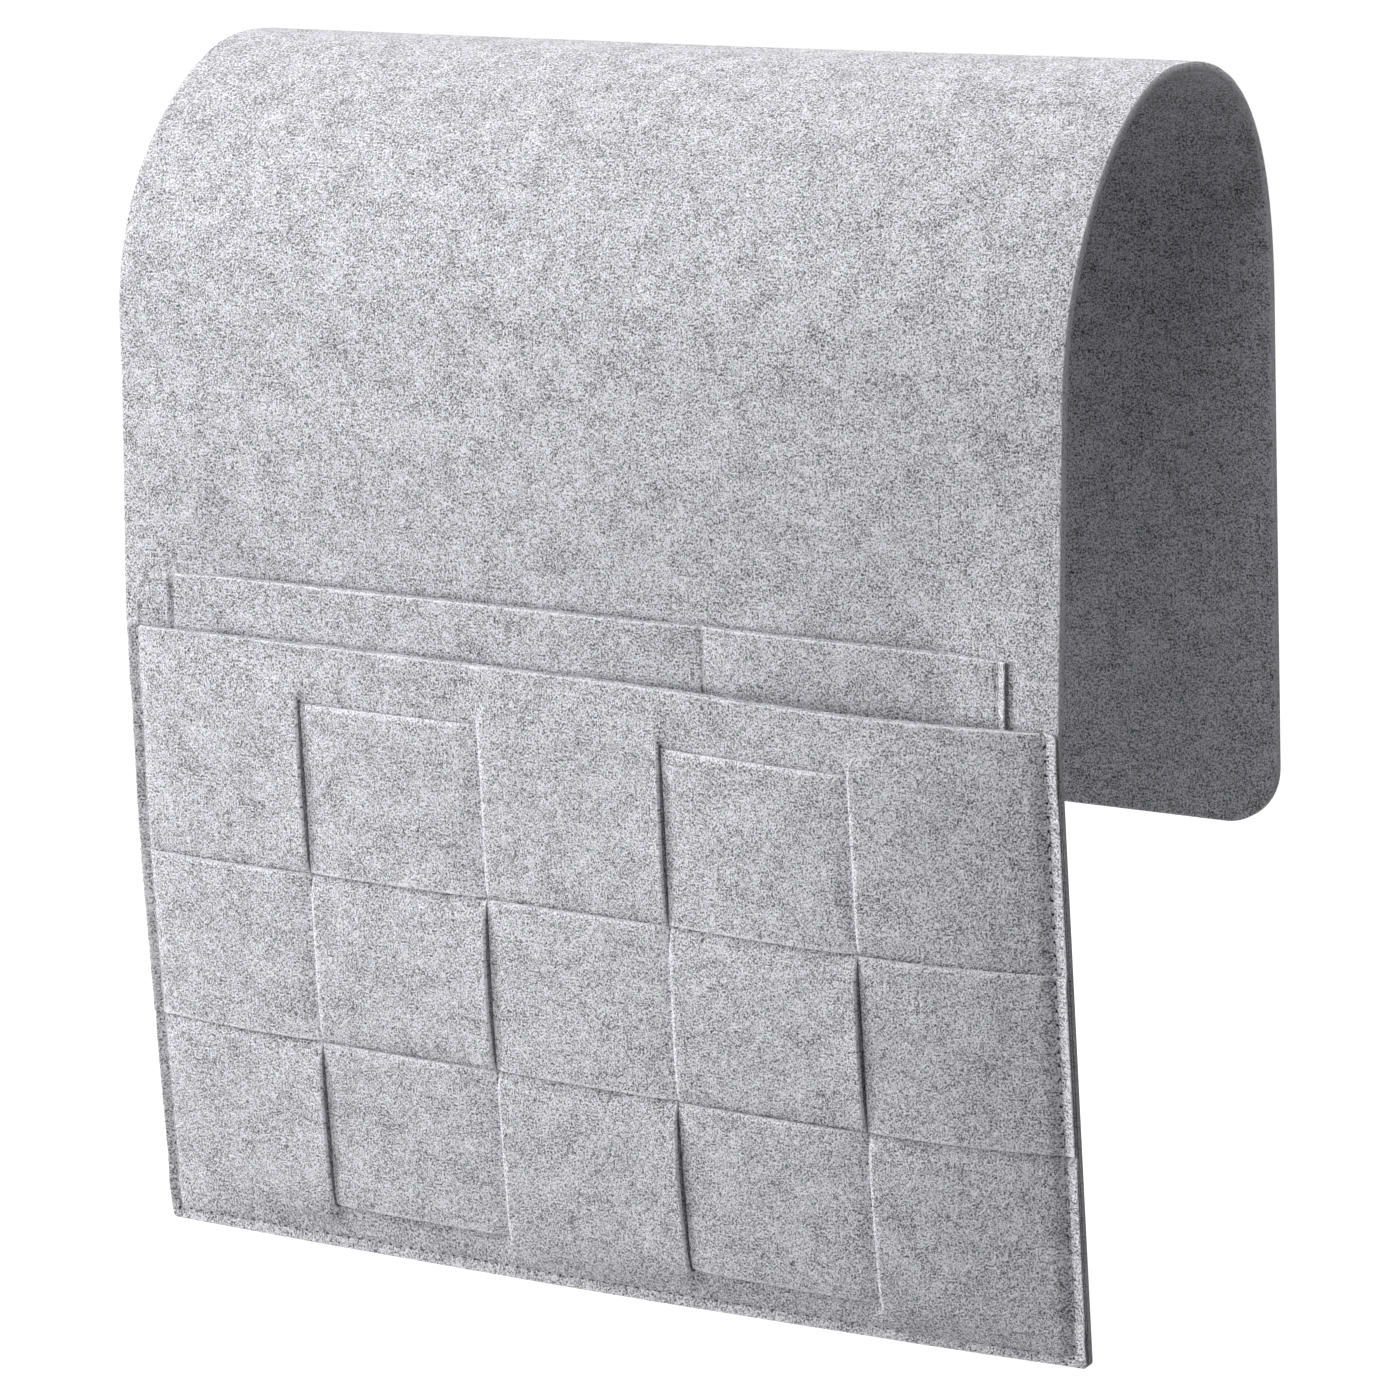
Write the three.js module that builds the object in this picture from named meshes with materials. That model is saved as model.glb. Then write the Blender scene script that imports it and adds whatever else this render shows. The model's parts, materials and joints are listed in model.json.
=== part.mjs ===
// A felt bedside caddy as it hangs over an armrest or a bed rail. One felt sheet bends over in an arch.
// Its short back flap hangs behind. Its long front flap carries a divided inner pocket and, over that,
// an outer pocket whose front panel is slit into columns and woven with felt strips.
// Millimetres, +Z up, X across the width, pockets towards -Y, origin at the inner apex of the arch.
import * as THREE from 'three';

// Felt, seams and thread
const feltThickness = 3;
const layerClearance = 0.3; // left between neighbouring layers
const seamInset = 3; // from a sewn edge to its seam
const threadWidth = 0.6;
const threadThickness = 0.5;

// The sheet, measured on its outer face
const sheetWidth = 320;
const shoulderReach = 68.3; // from the apex to the front shoulder, along Y
const shoulderDrop = 77.6; // from the apex down to the front shoulder
const shoulderRoundness = 40; // how far the arch keeps the shoulder's direction
const frontCrownRoundness = 30; // how far the arch stays level in front of the apex
const shoulderLean = 6.9; // degrees from upright, between the shoulder and the pocket
const shoulderToPocket = 88.4; // drop of that leaning stretch
const bendAbovePocket = 0.8; // from the outer pocket's top edge up to the bend
const backReach = 52.5;
const backDrop = 75;
const backRoundness = 52;
const backCrownRoundness = 38;
const backLean = 3.1; // degrees from upright
const backFlapLength = 153;
const backCornerRadius = 17;
const archSteps = 14; // straight stretches in each half of the arch
const cornerSteps = 8;

// How far each flap folds inwards past its resting place, in degrees
const foldInwards = 15;

// Outer pocket: a slit panel, woven with strips
const columnCount = 5;
const stripCount = 3;
const stripHeight = 51.7;
const bandAboveWeave = 16.2;
const bandBelowWeave = 11.5;
const slitOverrun = 2; // how far a slit runs past the outermost strips
const tuckLength = 5; // the stretch in which a layer dives under its neighbour
const outerPocketDepth = 4.8; // clear depth of the pocket as it hangs
const outerPocketBulge = 0.6;

// Inner pocket: one panel, divided by a seam
const innerPanelInset = 17; // from the sheet's edge to the panel's side edge
const innerPanelRise = 17.6; // above the outer panel's top edge
const innerHemHeight = 20; // from the sheet's hem to the panel's bottom edge
const dividerFromLeft = 186;
const dividerDraw = 22; // half the width that the divider seam draws in
const innerPocketDepth = 4.8;
const innerSpread = 20; // from a seam of this panel to where it stands clear of the sheet

// Finish of light grey felt and its thread
const feltColour = 0xbdbdc2;
const feltRoughness = 0.95;
const threadColour = 0xa9a9ad;
const threadRoughness = 0.8;

const sameLine = 0.02; // grid lines closer than this are one
const degrees = THREE.MathUtils.DEG2RAD;
const lean = shoulderLean * degrees;
const halfGap = layerClearance / 2;
const halfFelt = feltThickness / 2;

// Heights
const shoulderZ = feltThickness - shoulderDrop;
const bendZ = shoulderZ - shoulderToPocket;
const outerTopZ = bendZ - bendAbovePocket;
const rowPitch = stripHeight + layerClearance;
const weaveTopZ = outerTopZ - bandAboveWeave;
const weaveBottomZ = weaveTopZ - stripCount * rowPitch;
const hemZ = weaveBottomZ - bandBelowWeave;
const innerTopZ = outerTopZ + innerPanelRise;
const innerHemZ = hemZ + innerHemHeight;
const outerSeamZ = hemZ + seamInset;
const innerSeamZ = innerHemZ + seamInset;
const innerOpenZ = innerSeamZ + innerSpread;

// Widths
const halfWidth = sheetWidth / 2;
const outerSeamX = halfWidth - seamInset;
const innerEdgeX = halfWidth - innerPanelInset;
const innerSeamX = innerEdgeX - seamInset;
const innerOpenX = innerSeamX - innerSpread;
const dividerX = dividerFromLeft - innerEdgeX;

// Weave grid
const columnPitch = sheetWidth / columnCount;
const outerOpenX = halfWidth - columnPitch / 2;
const outerOpenZ = weaveBottomZ + rowPitch / 2;

// Levels stand out from the pocket plane, which is the sheet's outer face along its seams
const pocketPlaneY = -(shoulderReach + shoulderToPocket * Math.tan(lean));
const weaveRelief = halfFelt + halfGap; // half the step between two woven layers
const bandSeat = layerClearance + halfFelt;
const weaveSeat = layerClearance + weaveRelief + halfFelt;
const weaveLevel = weaveSeat + outerPocketBulge;
const innerLevel = weaveLevel - weaveRelief - halfFelt - outerPocketDepth - halfFelt;
const sheetDepth = -(innerLevel - halfFelt - innerPocketDepth);
// Room behind the outer panel for the inner panel's edge and its thread
const innerEdgeDepth = feltThickness + 3 * layerClearance + threadThickness;

const clamp01 = (t) => THREE.MathUtils.clamp(t, 0, 1);
const lerp = THREE.MathUtils.lerp;

// Grid lines in order, without repeats
function lines(...values) {
  const sorted = values.flat().sort((a, b) => a - b);
  return sorted.filter((value, i) => i === 0 || value - sorted[i - 1] > sameLine);
}

const bothSides = (...values) => values.flatMap((value) => [-value, value]);

// A closed layer over a grid of cells: front and back give the two points over a grid crossing, and has
// says which cells exist
function layerGeometry(xs, zs, front, back, has = () => true) {
  const positions = [];
  const faces = [];
  const known = new Map();
  const vertex = (side, i, j) => {
    const key = `${side} ${i} ${j}`;
    if (!known.has(key)) {
      known.set(key, positions.length / 3);
      const point = side === 'front' ? front(xs[i], zs[j]) : back(xs[i], zs[j]);
      positions.push(point.x, point.y, point.z);
    }
    return known.get(key);
  };
  const quad = (a, b, c, d) => faces.push(a, b, c, a, c, d);
  const exists = (i, j) => i >= 0 && j >= 0 && i < xs.length - 1 && j < zs.length - 1 && has(i, j);
  for (let i = 0; i < xs.length - 1; i += 1) {
    for (let j = 0; j < zs.length - 1; j += 1) {
      if (!exists(i, j)) continue;
      const corners = [[i, j], [i + 1, j], [i + 1, j + 1], [i, j + 1]];
      const neighbours = [[i, j - 1], [i + 1, j], [i, j + 1], [i - 1, j]];
      const near = corners.map(([ci, cj]) => vertex('front', ci, cj));
      const far = corners.map(([ci, cj]) => vertex('back', ci, cj));
      quad(near[0], near[1], near[2], near[3]);
      quad(far[0], far[3], far[2], far[1]);
      neighbours.forEach(([ni, nj], k) => {
        const next = (k + 1) % 4;
        if (!exists(ni, nj)) quad(near[next], near[k], far[k], far[next]);
      });
    }
  }
  const geometry = new THREE.BufferGeometry();
  geometry.setAttribute('position', new THREE.Float32BufferAttribute(positions, 3));
  geometry.setIndex(faces);
  geometry.computeVertexNormals();
  return geometry;
}

// A layer between two levels over the pocket plane
function levelGeometry(xs, zs, frontLevel, backLevel, has) {
  const at = (level) => (x, z) => new THREE.Vector3(x, pocketPlaneY - level(x, z), z);
  return layerGeometry(xs, zs, at(frontLevel), at(backLevel), has);
}

// A piece cut from an outline that runs through the whole width of the sheet
function acrossWidth(outline) {
  const options = { depth: sheetWidth, bevelEnabled: false };
  const geometry = new THREE.ExtrudeGeometry(new THREE.Shape(outline), options);
  const turn = new THREE.Matrix4().makeBasis(
    new THREE.Vector3(0, 1, 0),
    new THREE.Vector3(0, 0, 1),
    new THREE.Vector3(1, 0, 0),
  );
  return geometry.applyMatrix4(turn).translate(-halfWidth, 0, 0);
}

// How deep the sheet lies behind its seam: it first makes room for the inner panel's edge, and is at its
// full depth where that panel stands clear
function depthShare(fromSeam, toInnerEdge, toInnerOpen) {
  const edgeShare = innerEdgeDepth / sheetDepth;
  if (fromSeam < toInnerEdge) return edgeShare * clamp01(fromSeam / toInnerEdge);
  return lerp(edgeShare, 1, clamp01((fromSeam - toInnerEdge) / (toInnerOpen - toInnerEdge)));
}

// The sheet's outer face, as a level over the pocket plane
function sheetLevel(x, z) {
  const leaning = Math.max(0, z - bendZ) * Math.tan(lean);
  const below = clamp01((shoulderZ - z) / shoulderToPocket);
  const fromSide = depthShare(outerSeamX - Math.abs(x), outerSeamX - innerEdgeX, outerSeamX - innerOpenX);
  const fromHem = depthShare(z - outerSeamZ, innerHemZ - outerSeamZ, innerOpenZ - outerSeamZ);
  const drawn = 1 - clamp01(Math.abs(x - dividerX) / dividerDraw);
  const depth = sheetDepth - drawn * innerPocketDepth / 2;
  return -leaning - depth * Math.min(fromSide, fromHem) * below;
}

// The inner panel's middle: sewn to the sheet along its seams, standing off between them
function innerPanelLevel(x, z) {
  const sewn = sheetLevel(x, z) + bandSeat;
  const open = clamp01((innerSeamX - Math.abs(x)) / innerSpread)
    * clamp01((z - innerSeamZ) / innerSpread)
    * clamp01(Math.abs(x - dividerX) / dividerDraw);
  return lerp(sewn, innerLevel, open);
}

// The middle between the two woven layers, and of the plain bands above and below them
function outerPanelLevel(x, z) {
  const outside = Math.max(0, z - weaveTopZ, weaveBottomZ - z);
  const sewn = lerp(weaveSeat, bandSeat, clamp01(outside / slitOverrun));
  const open = clamp01((outerSeamX - Math.abs(x)) / (outerSeamX - outerOpenX))
    * clamp01((z - outerSeamZ) / (outerOpenZ - outerSeamZ));
  return lerp(sewn, weaveLevel, open);
}

// Weave: columns of the panel and strips take turns in front
const lastColumn = columnCount - 1;
const slitX = Array.from({ length: lastColumn }, (_, i) => -halfWidth + (i + 1) * columnPitch);
const borderZ = Array.from({ length: stripCount + 1 }, (_, r) => weaveTopZ - r * rowPitch);
const columnOf = (x) => THREE.MathUtils.clamp(Math.floor((x + halfWidth) / columnPitch), 0, lastColumn);
const rowOf = (z) => Math.floor((weaveTopZ - z) / rowPitch);
const inWeave = (z) => z < weaveTopZ && z > weaveBottomZ;
const columnLeads = (x, z) => (columnOf(x) + rowOf(z)) % 2 === 0;
const swing = (distance) => weaveRelief * clamp01(distance / tuckLength);
const nearest = (value, places) => Math.min(...places.map((place) => Math.abs(value - place)));

function wovenLayers(x, z) {
  const lead = columnLeads(x, z) ? 1 : -1;
  const column = lead * swing(nearest(z, borderZ));
  const strip = -lead * swing(nearest(x, slitX));
  const middle = outerPanelLevel(x, z);
  const meeting = (column + strip) / 2;
  const layer = (own, leads) => ({
    front: middle + (leads ? own + halfFelt : meeting - halfGap),
    back: middle + (leads ? meeting + halfGap : own - halfFelt),
  });
  return { column: layer(column, lead > 0), strip: layer(strip, lead < 0) };
}

function outerPanelFaces(x, z) {
  if (inWeave(z)) return wovenLayers(x, z).column;
  const middle = outerPanelLevel(x, z);
  return { front: middle + halfFelt, back: middle - halfFelt };
}

const weaveXs = lines(
  bothSides(halfWidth, outerSeamX, outerOpenX),
  slitX.flatMap((x) => [x - tuckLength, x - halfGap, x + halfGap, x + tuckLength]),
);
function rowLines(top) {
  const bottom = top - rowPitch;
  return [top - halfGap, top - tuckLength, bottom + tuckLength, bottom + halfGap];
}
const slitTopZ = weaveTopZ + slitOverrun;
const slitBottomZ = weaveBottomZ - slitOverrun;
const outerPanelZs = lines(
  hemZ,
  outerSeamZ,
  slitBottomZ,
  weaveBottomZ - halfGap,
  borderZ.slice(0, -1).flatMap(rowLines),
  outerOpenZ,
  weaveTopZ + halfGap,
  slitTopZ,
  outerTopZ,
);

const inSlit = (i) => slitX.some((x) => Math.abs((weaveXs[i] + weaveXs[i + 1]) / 2 - x) < halfGap);
function outerPanelCell(i, j) {
  const middleZ = (outerPanelZs[j] + outerPanelZs[j + 1]) / 2;
  return !(inSlit(i) && middleZ > slitBottomZ && middleZ < slitTopZ);
}

function outerPanel() {
  const front = (x, z) => outerPanelFaces(x, z).front;
  const back = (x, z) => outerPanelFaces(x, z).back;
  return levelGeometry(weaveXs, outerPanelZs, front, back, outerPanelCell);
}

function wovenStrip(row) {
  const zs = rowLines(borderZ[row]);
  const openZ = outerOpenZ < zs[0] && outerOpenZ > zs[3] ? [outerOpenZ] : [];
  const front = (x, z) => wovenLayers(x, z).strip.front;
  const back = (x, z) => wovenLayers(x, z).strip.back;
  return levelGeometry(weaveXs, lines(zs, openZ), front, back);
}

const drawnXs = [dividerX - dividerDraw, dividerX, dividerX + dividerDraw];
const innerXs = lines(bothSides(innerEdgeX, innerSeamX, innerOpenX), drawnXs);
const innerZs = lines(innerHemZ, innerSeamZ, innerOpenZ, bendZ, innerTopZ);

function innerPanel() {
  const front = (x, z) => innerPanelLevel(x, z) + halfFelt;
  const back = (x, z) => innerPanelLevel(x, z) - halfFelt;
  return levelGeometry(innerXs, innerZs, front, back);
}

// The front flap stops just under the shoulder, where it folds
function frontFlap() {
  const topZ = shoulderZ - layerClearance * Math.cos(lean);
  const xs = lines(bothSides(halfWidth, outerSeamX), innerXs);
  const zs = lines(hemZ, outerSeamZ, innerZs, (innerTopZ + topZ) / 2, topZ);
  const outer = (x, z) => new THREE.Vector3(x, pocketPlaneY - sheetLevel(x, z), z);
  const inner = (x, z) => {
    const bend = z > bendZ ? lean : 0;
    const inwards = new THREE.Vector3(0, Math.cos(bend), -Math.sin(bend));
    return outer(x, z).addScaledVector(inwards, feltThickness);
  };
  return layerGeometry(xs, zs, outer, inner);
}

// The arch between the two folds; its ends slant so that the flaps can fold inwards
const shoulder = new THREE.Vector2(-shoulderReach, shoulderZ);
const backShoulder = new THREE.Vector2(backReach, feltThickness - backDrop);
const backTilt = new THREE.Vector2(Math.sin(backLean * degrees), Math.cos(backLean * degrees));
const frontTilt = new THREE.Vector2(Math.sin(lean), Math.cos(lean));

function saddle() {
  const apex = new THREE.Vector2(0, feltThickness);
  const front = new THREE.CubicBezierCurve(
    shoulder,
    shoulder.clone().addScaledVector(frontTilt, shoulderRoundness),
    new THREE.Vector2(-frontCrownRoundness, feltThickness),
    apex,
  );
  const back = new THREE.CubicBezierCurve(
    apex,
    new THREE.Vector2(backCrownRoundness, feltThickness),
    backShoulder.clone().addScaledVector(backTilt, backRoundness),
    backShoulder,
  );
  const outer = [];
  const inner = [];
  const add = (curve, t, along) => {
    const point = curve.getPoint(t);
    const tangent = curve.getTangent(t);
    const inwards = new THREE.Vector2(tangent.y, -tangent.x);
    outer.push(point);
    inner.push(point.clone().addScaledVector(inwards, feltThickness).addScaledVector(tangent, along));
  };
  const slant = feltThickness * Math.tan(foldInwards * degrees);
  add(front, 0, slant);
  for (let k = 1; k <= archSteps; k += 1) add(front, k / archSteps, 0);
  for (let k = 1; k < archSteps; k += 1) add(back, k / archSteps, 0);
  add(back, 1, -slant);
  return acrossWidth([...outer, ...inner.reverse()]);
}

// The back flap is a flat tongue with two round corners, its outer face towards +Y
function backFlap() {
  const cornerX = halfWidth - backCornerRadius;
  const cornerY = backCornerRadius - backFlapLength;
  const tongue = new THREE.Shape();
  tongue.moveTo(-halfWidth, 0);
  tongue.lineTo(-halfWidth, cornerY);
  tongue.absarc(-cornerX, cornerY, backCornerRadius, Math.PI, Math.PI * 1.5, false);
  tongue.absarc(cornerX, cornerY, backCornerRadius, Math.PI * 1.5, 0, false);
  tongue.lineTo(halfWidth, 0);
  const options = { depth: feltThickness, bevelEnabled: false, curveSegments: cornerSteps };
  return new THREE.ExtrudeGeometry(tongue, options).rotateX(Math.PI / 2);
}

// A thread stands off the face that it lies on, outwards for the needle's and inwards for the bobbin's
function threadGeometry(xs, zs, faceLevel, outwards, has) {
  const near = (x, z) => faceLevel(x, z) + outwards * layerClearance;
  const far = (x, z) => near(x, z) + outwards * threadThickness;
  return outwards > 0 ? levelGeometry(xs, zs, far, near, has) : levelGeometry(xs, zs, near, far, has);
}

// A pocket's thread runs along its seam: up the left side, along the bottom and up the right side
function seamThread(seam, bends, faceLevel, outwards) {
  const half = threadWidth / 2;
  const xs = lines(bothSides(seam.x - half, seam.x + half), bends.x);
  const bendsAlong = bends.z.filter((z) => z > seam.z + half && z < seam.topZ);
  const zs = lines(seam.z - half, seam.z + half, bendsAlong, seam.topZ);
  const onSeam = (i, j) => j === 0 || i === 0 || i === xs.length - 2;
  return threadGeometry(xs, zs, faceLevel, outwards, onSeam);
}

function dividerThread(faceLevel, outwards) {
  const half = threadWidth / 2;
  const zs = lines(innerSeamZ + seamInset, innerOpenZ, bendZ, innerTopZ);
  const alongDivider = (x, z) => faceLevel(dividerX, z);
  return threadGeometry([dividerX - half, dividerX + half], zs, alongDivider, outwards);
}

// Faces that the threads lie on
const sheetBack = (x, z) => sheetLevel(x, z) - feltThickness / Math.cos(z > bendZ ? lean : 0);
const innerFront = (x, z) => innerPanelLevel(x, z) + halfFelt;
function outerFront(x, z) {
  const outside = Math.max(0, z - weaveTopZ, weaveBottomZ - z);
  const proud = Math.abs(x) < outerSeamX - threadWidth ? 0 : weaveRelief;
  return outerPanelLevel(x, z) + halfFelt + proud * (1 - clamp01(outside / slitOverrun));
}

const outerSeam = { x: outerSeamX, z: outerSeamZ, topZ: outerTopZ - seamInset };
const outerBends = { x: [], z: [slitBottomZ, weaveBottomZ, weaveTopZ, slitTopZ] };
const straight = { x: [], z: [] };
const innerSeam = { x: innerSeamX, z: innerSeamZ, topZ: innerTopZ };
const innerBends = { x: [...bothSides(innerOpenX), ...drawnXs], z: [innerOpenZ, bendZ] };

function piece(name, geometry, colour, roughness) {
  const material = new THREE.MeshStandardMaterial({ color: colour, roughness, metalness: 0 });
  const mesh = new THREE.Mesh(geometry, material);
  mesh.name = name;
  return mesh;
}

const felt = (name, geometry) => piece(name, geometry, feltColour, feltRoughness);
const thread = (name, geometry) => piece(name, geometry, threadColour, threadRoughness);

const caddy = new THREE.Group();

caddy.add(felt('sheet_saddle', saddle()));
caddy.add(felt('sheet_front_flap', frontFlap()));

const hangingBack = felt('sheet_back_flap', backFlap());
hangingBack.position.set(0, backReach, feltThickness - backDrop);
hangingBack.rotation.x = -backLean * degrees;
hangingBack.translateZ(-layerClearance);
caddy.add(hangingBack);

caddy.add(felt('inner_pocket_panel', innerPanel()));
caddy.add(felt('outer_pocket_panel', outerPanel()));
// Strips are numbered from the top
for (let row = 0; row < stripCount; row += 1) {
  caddy.add(felt(`woven_strip_${row + 1}`, wovenStrip(row)));
}

caddy.add(thread('outer_seam_needle_thread', seamThread(outerSeam, outerBends, outerFront, 1)));
caddy.add(thread('outer_seam_bobbin_thread', seamThread(outerSeam, straight, sheetBack, -1)));
caddy.add(thread('inner_seam_needle_thread', seamThread(innerSeam, innerBends, innerFront, 1)));
caddy.add(thread('inner_seam_bobbin_thread', seamThread(innerSeam, innerBends, sheetBack, -1)));
caddy.add(thread('divider_seam_needle_thread', dividerThread(innerFront, 1)));
caddy.add(thread('divider_seam_bobbin_thread', dividerThread(sheetBack, -1)));

export default caddy;
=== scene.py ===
# The looks of a felt bedside caddy that hangs over an armrest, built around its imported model.
import json
import math

import bpy
import numpy as np
from mathutils import Matrix, Vector


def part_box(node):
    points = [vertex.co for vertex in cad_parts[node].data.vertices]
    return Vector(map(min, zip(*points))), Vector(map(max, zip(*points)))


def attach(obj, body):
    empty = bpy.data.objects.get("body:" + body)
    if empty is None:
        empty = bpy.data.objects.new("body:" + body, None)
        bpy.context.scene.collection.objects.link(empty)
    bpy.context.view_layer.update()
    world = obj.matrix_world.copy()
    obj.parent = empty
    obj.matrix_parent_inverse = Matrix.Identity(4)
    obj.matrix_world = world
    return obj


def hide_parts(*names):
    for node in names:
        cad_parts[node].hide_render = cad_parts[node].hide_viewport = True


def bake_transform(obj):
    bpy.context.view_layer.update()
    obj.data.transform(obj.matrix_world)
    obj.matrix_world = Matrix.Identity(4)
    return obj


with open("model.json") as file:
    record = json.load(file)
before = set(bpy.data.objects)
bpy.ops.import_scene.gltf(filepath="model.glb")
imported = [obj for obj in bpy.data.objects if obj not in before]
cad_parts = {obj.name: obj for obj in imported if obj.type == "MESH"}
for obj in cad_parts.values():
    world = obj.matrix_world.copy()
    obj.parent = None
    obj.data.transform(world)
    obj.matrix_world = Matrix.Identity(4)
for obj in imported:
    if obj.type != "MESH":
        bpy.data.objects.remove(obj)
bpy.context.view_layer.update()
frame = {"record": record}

# Lengths are in millimetres until a mesh is made
MM = 0.001

# Felt, seams and thread
FELT = 3.0
GRID_STEP = 4.0  # between the plain grid lines of a layer
LAYER_GAP = 0.15  # left between two layers that lie on each other
EDGE_ROUNDING = 0.4  # a cut felt edge is soft
ROLL_WIDTH = 1.8  # a column's left edge and a strip's top edge roll off over this width
ROLL_DROP = 0.85
ROLL_POWER = 1.3
SOFT_SHARE = 0.4  # of a layer's thickness, which rounding and rolling off take at most
THINNEST = 0.2
PAINTED_HIGHLIGHT_WIDTH = 0.7  # painted highlight: loose fibres at a cut edge catch the light this far in
PAINTED_CUT_FACE_SHADE = (-0.7, -0.7, -0.1, -0.4)  # painted shade on the cut faces below, right, above and left, darker where less light falls on them
# the sheet's cut faces in the same order: painted shade, and painted light on the right one
SHEET_CUT_FACE_PAINTED_LIGHT_AND_SHADE = (-0.4, 0.9, -0.1, -0.4)
SQUARE_CORNER = 1.6  # radius of the sheet's square corners
SEAM_INSET = 3.0
SQUEEZE_SPREAD = 6.0  # how far from the outer seam the sheet is thinner
SHEET_SQUEEZE = 0.56  # shares of its thickness that felt keeps in a seam
BAND_SQUEEZE = 0.50
OUTER_ROW_SQUEEZE = 0.27
MIDDLE_ROW_SQUEEZE = 0.37
INNER_SQUEEZE = 0.50
INNER_SQUEEZE_SPREAD = 12.0
GROOVE_DEPTH = 1.4  # how deep a seam draws the felt in
GROOVE_OUTSIDE = 2.75  # how far the groove reaches towards the edge
GROOVE_INSIDE = 4.0
HEM_GROOVE_INSIDE = 1.2
HEM_GROOVE = 0.6  # share of the depth along the hem
INNER_GROOVE = 0.8
INNER_GROOVE_LEFT = 1.0  # the inner pocket's left allowance lies flat, so its groove is narrow
INNER_LEFT_OUT = 3.2  # its left seam lies this far outwards
INNER_GROOVE_INSIDE = 2.0
STITCH_LENGTH = 3.9
STITCH_GAP = 0.9
BACK_TACK = 2  # stitches by which the outer seam runs on above the pocket at the left
HOLE_RADIUS = 0.42
THREAD_RADIUS = 0.26

# The sheet's arch: its curves are the solid model's, and its sag and full shoulder are added
SHOULDER_ROUNDNESS = 40.0
FRONT_CROWN_ROUNDNESS = 30.0
BACK_CROWN_ROUNDNESS = 38.0
BACK_ROUNDNESS = 52.0
BACK_CORNER_RADIUS = 17.0
BEND_ABOVE_POCKET = 0.8
BEND_SOFTNESS = 16.0  # how far the bend over the pocket spreads each way
JOIN_PAST_APEX = 34.0  # the two halves of the sheet meet this far behind the apex
CROWN_SAG = 1.1  # the crown sags towards the left
CROWN_SPREAD = 70.0
SHOULDER_OUT = 2.3  # the left end of the front shoulder is fuller
SHOULDER_PLACE = 72.0  # before the apex, along the sheet
SHOULDER_SPREAD = 60.0

# How the layers lie behind the pocket front, as depths behind the pocket plane
MOUTH_DEPTH = 8.0  # the sheet, at the pocket's mouth
SHEET_DEPTH = 11.4  # the sheet, lower down
MOUTH_SPREAD = 60.0  # from the mouth down to the full depth
DISH_RISE = 70.0  # from the mouth up to where the sheet is straight again
DISH_SIDE = 45.0  # from the side seam to the full depth
DISH_END = 40.0  # before the apex, along the sheet
INNER_DEPTH = 5.2  # middle of the inner panel
INNER_SPREAD = 24.0
DIVIDER_SPREAD = 24.0  # how far on each side the divider seam draws the inner panel in
DIVIDER_GROOVE = 1.5
DIVIDER_DEPTH = 0.6  # share of the groove along the sides

# The outer pocket
COLUMNS = 5
SLIT_GAP = 0.3
SLIT_OVERRUN = 0.8
STRIP_CLEARANCE = 0.05  # from a strip's edge to the border of its row
WEAVE_BLEND = 10.0  # from a plain band to the weave
ROW_BLEND = 1.5
SLIT_BLUR = 0.4  # from column to column, between the slits' ends
BAND_BLUR = 9.0  # and in the plain bands
BLUR_LENGTH = 8.0
COLUMN_TUCK = 7.0  # the stretch in which a column dives under a strip
TUCK_SHIFT = 1.5  # a column's dives lie this far below the edges of the strips
UNDER_EDGE = 1.5  # a column is pressed flat from this far under a strip's edge
STRIP_TUCK = 6.0  # the stretch in which a strip dives under a column
STRIP_ARCH = 26.0  # a strip also arches right across a column
UPPER_LEFT_FRONT = -0.2  # middle between the woven layers, before the pocket plane
UPPER_RIGHT_FRONT = 4.8
LOWER_LEFT_FRONT = 2.6
LOWER_RIGHT_FRONT = 5.2
SIDE_SPREAD = 62.0  # from a seam to where the pocket stands out fully
SIDE_POWER = 1.5
HEM_SPREAD = 55.0
HEM_PRESS = 7.0  # the hem seam presses the felt flat up to here
CORNER_INSET = 1.8  # the pocket's upper left corner is sewn on this far in
CORNER_HEIGHT = 75.0
CORNER_WIDTH = 60.0
LOWER_LEFT_OUT = 2.0  # the flap's left edge stands out this far at the hem
RIGHT_ALLOWANCE = 1.3  # the seam at the right lies this much further in
ALLOWANCE_SPREAD = 40.0
HEM_LEFT = -3.2  # the hem hangs lower at the left than at the right, and sags between
HEM_RIGHT = 1.4
HEM_SAG = 1.5
MOUTH_LEFT = 1.8  # the pocket's mouth is higher at the left
STRIP_SHADOW_WIDTH = 1.5  # painted shadow darkens a column this far beside a strip that lies over it
STRIP_SHADOW_FADE = 0.6
STRIP_SHADOW_TONE = 1.14  # darkness of that painted shadow, against a seam groove's painted shade, which is 1
EDGE_LIFT = 1.2  # a strip that comes out of a slit lifts the column's right edge
EDGE_LIFT_WIDTH = 14.0
DIP_LENGTH = 5.0  # a plain band dips this far before it goes under a strip
BAND_SETTLE = 0.85  # share of its swing that a column loses across a plain band

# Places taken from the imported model


def reach(node):
    low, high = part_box(node)
    return np.array(low) / MM, np.array(high) / MM


flap_low = reach("sheet_front_flap")[0]
outer_low, outer_high = reach("outer_pocket_panel")
inner_low, inner_high = reach("inner_pocket_panel")
back_low = reach("sheet_back_flap")[0]
strips = [reach(f"woven_strip_{n}") for n in (1, 2, 3)]
divider_low, divider_high = reach("divider_seam_needle_thread")
hinges = {joint["name"]: np.array(joint["pos_m"]) / MM for joint in frame["record"]["behaviour"]["joints"]}

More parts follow.
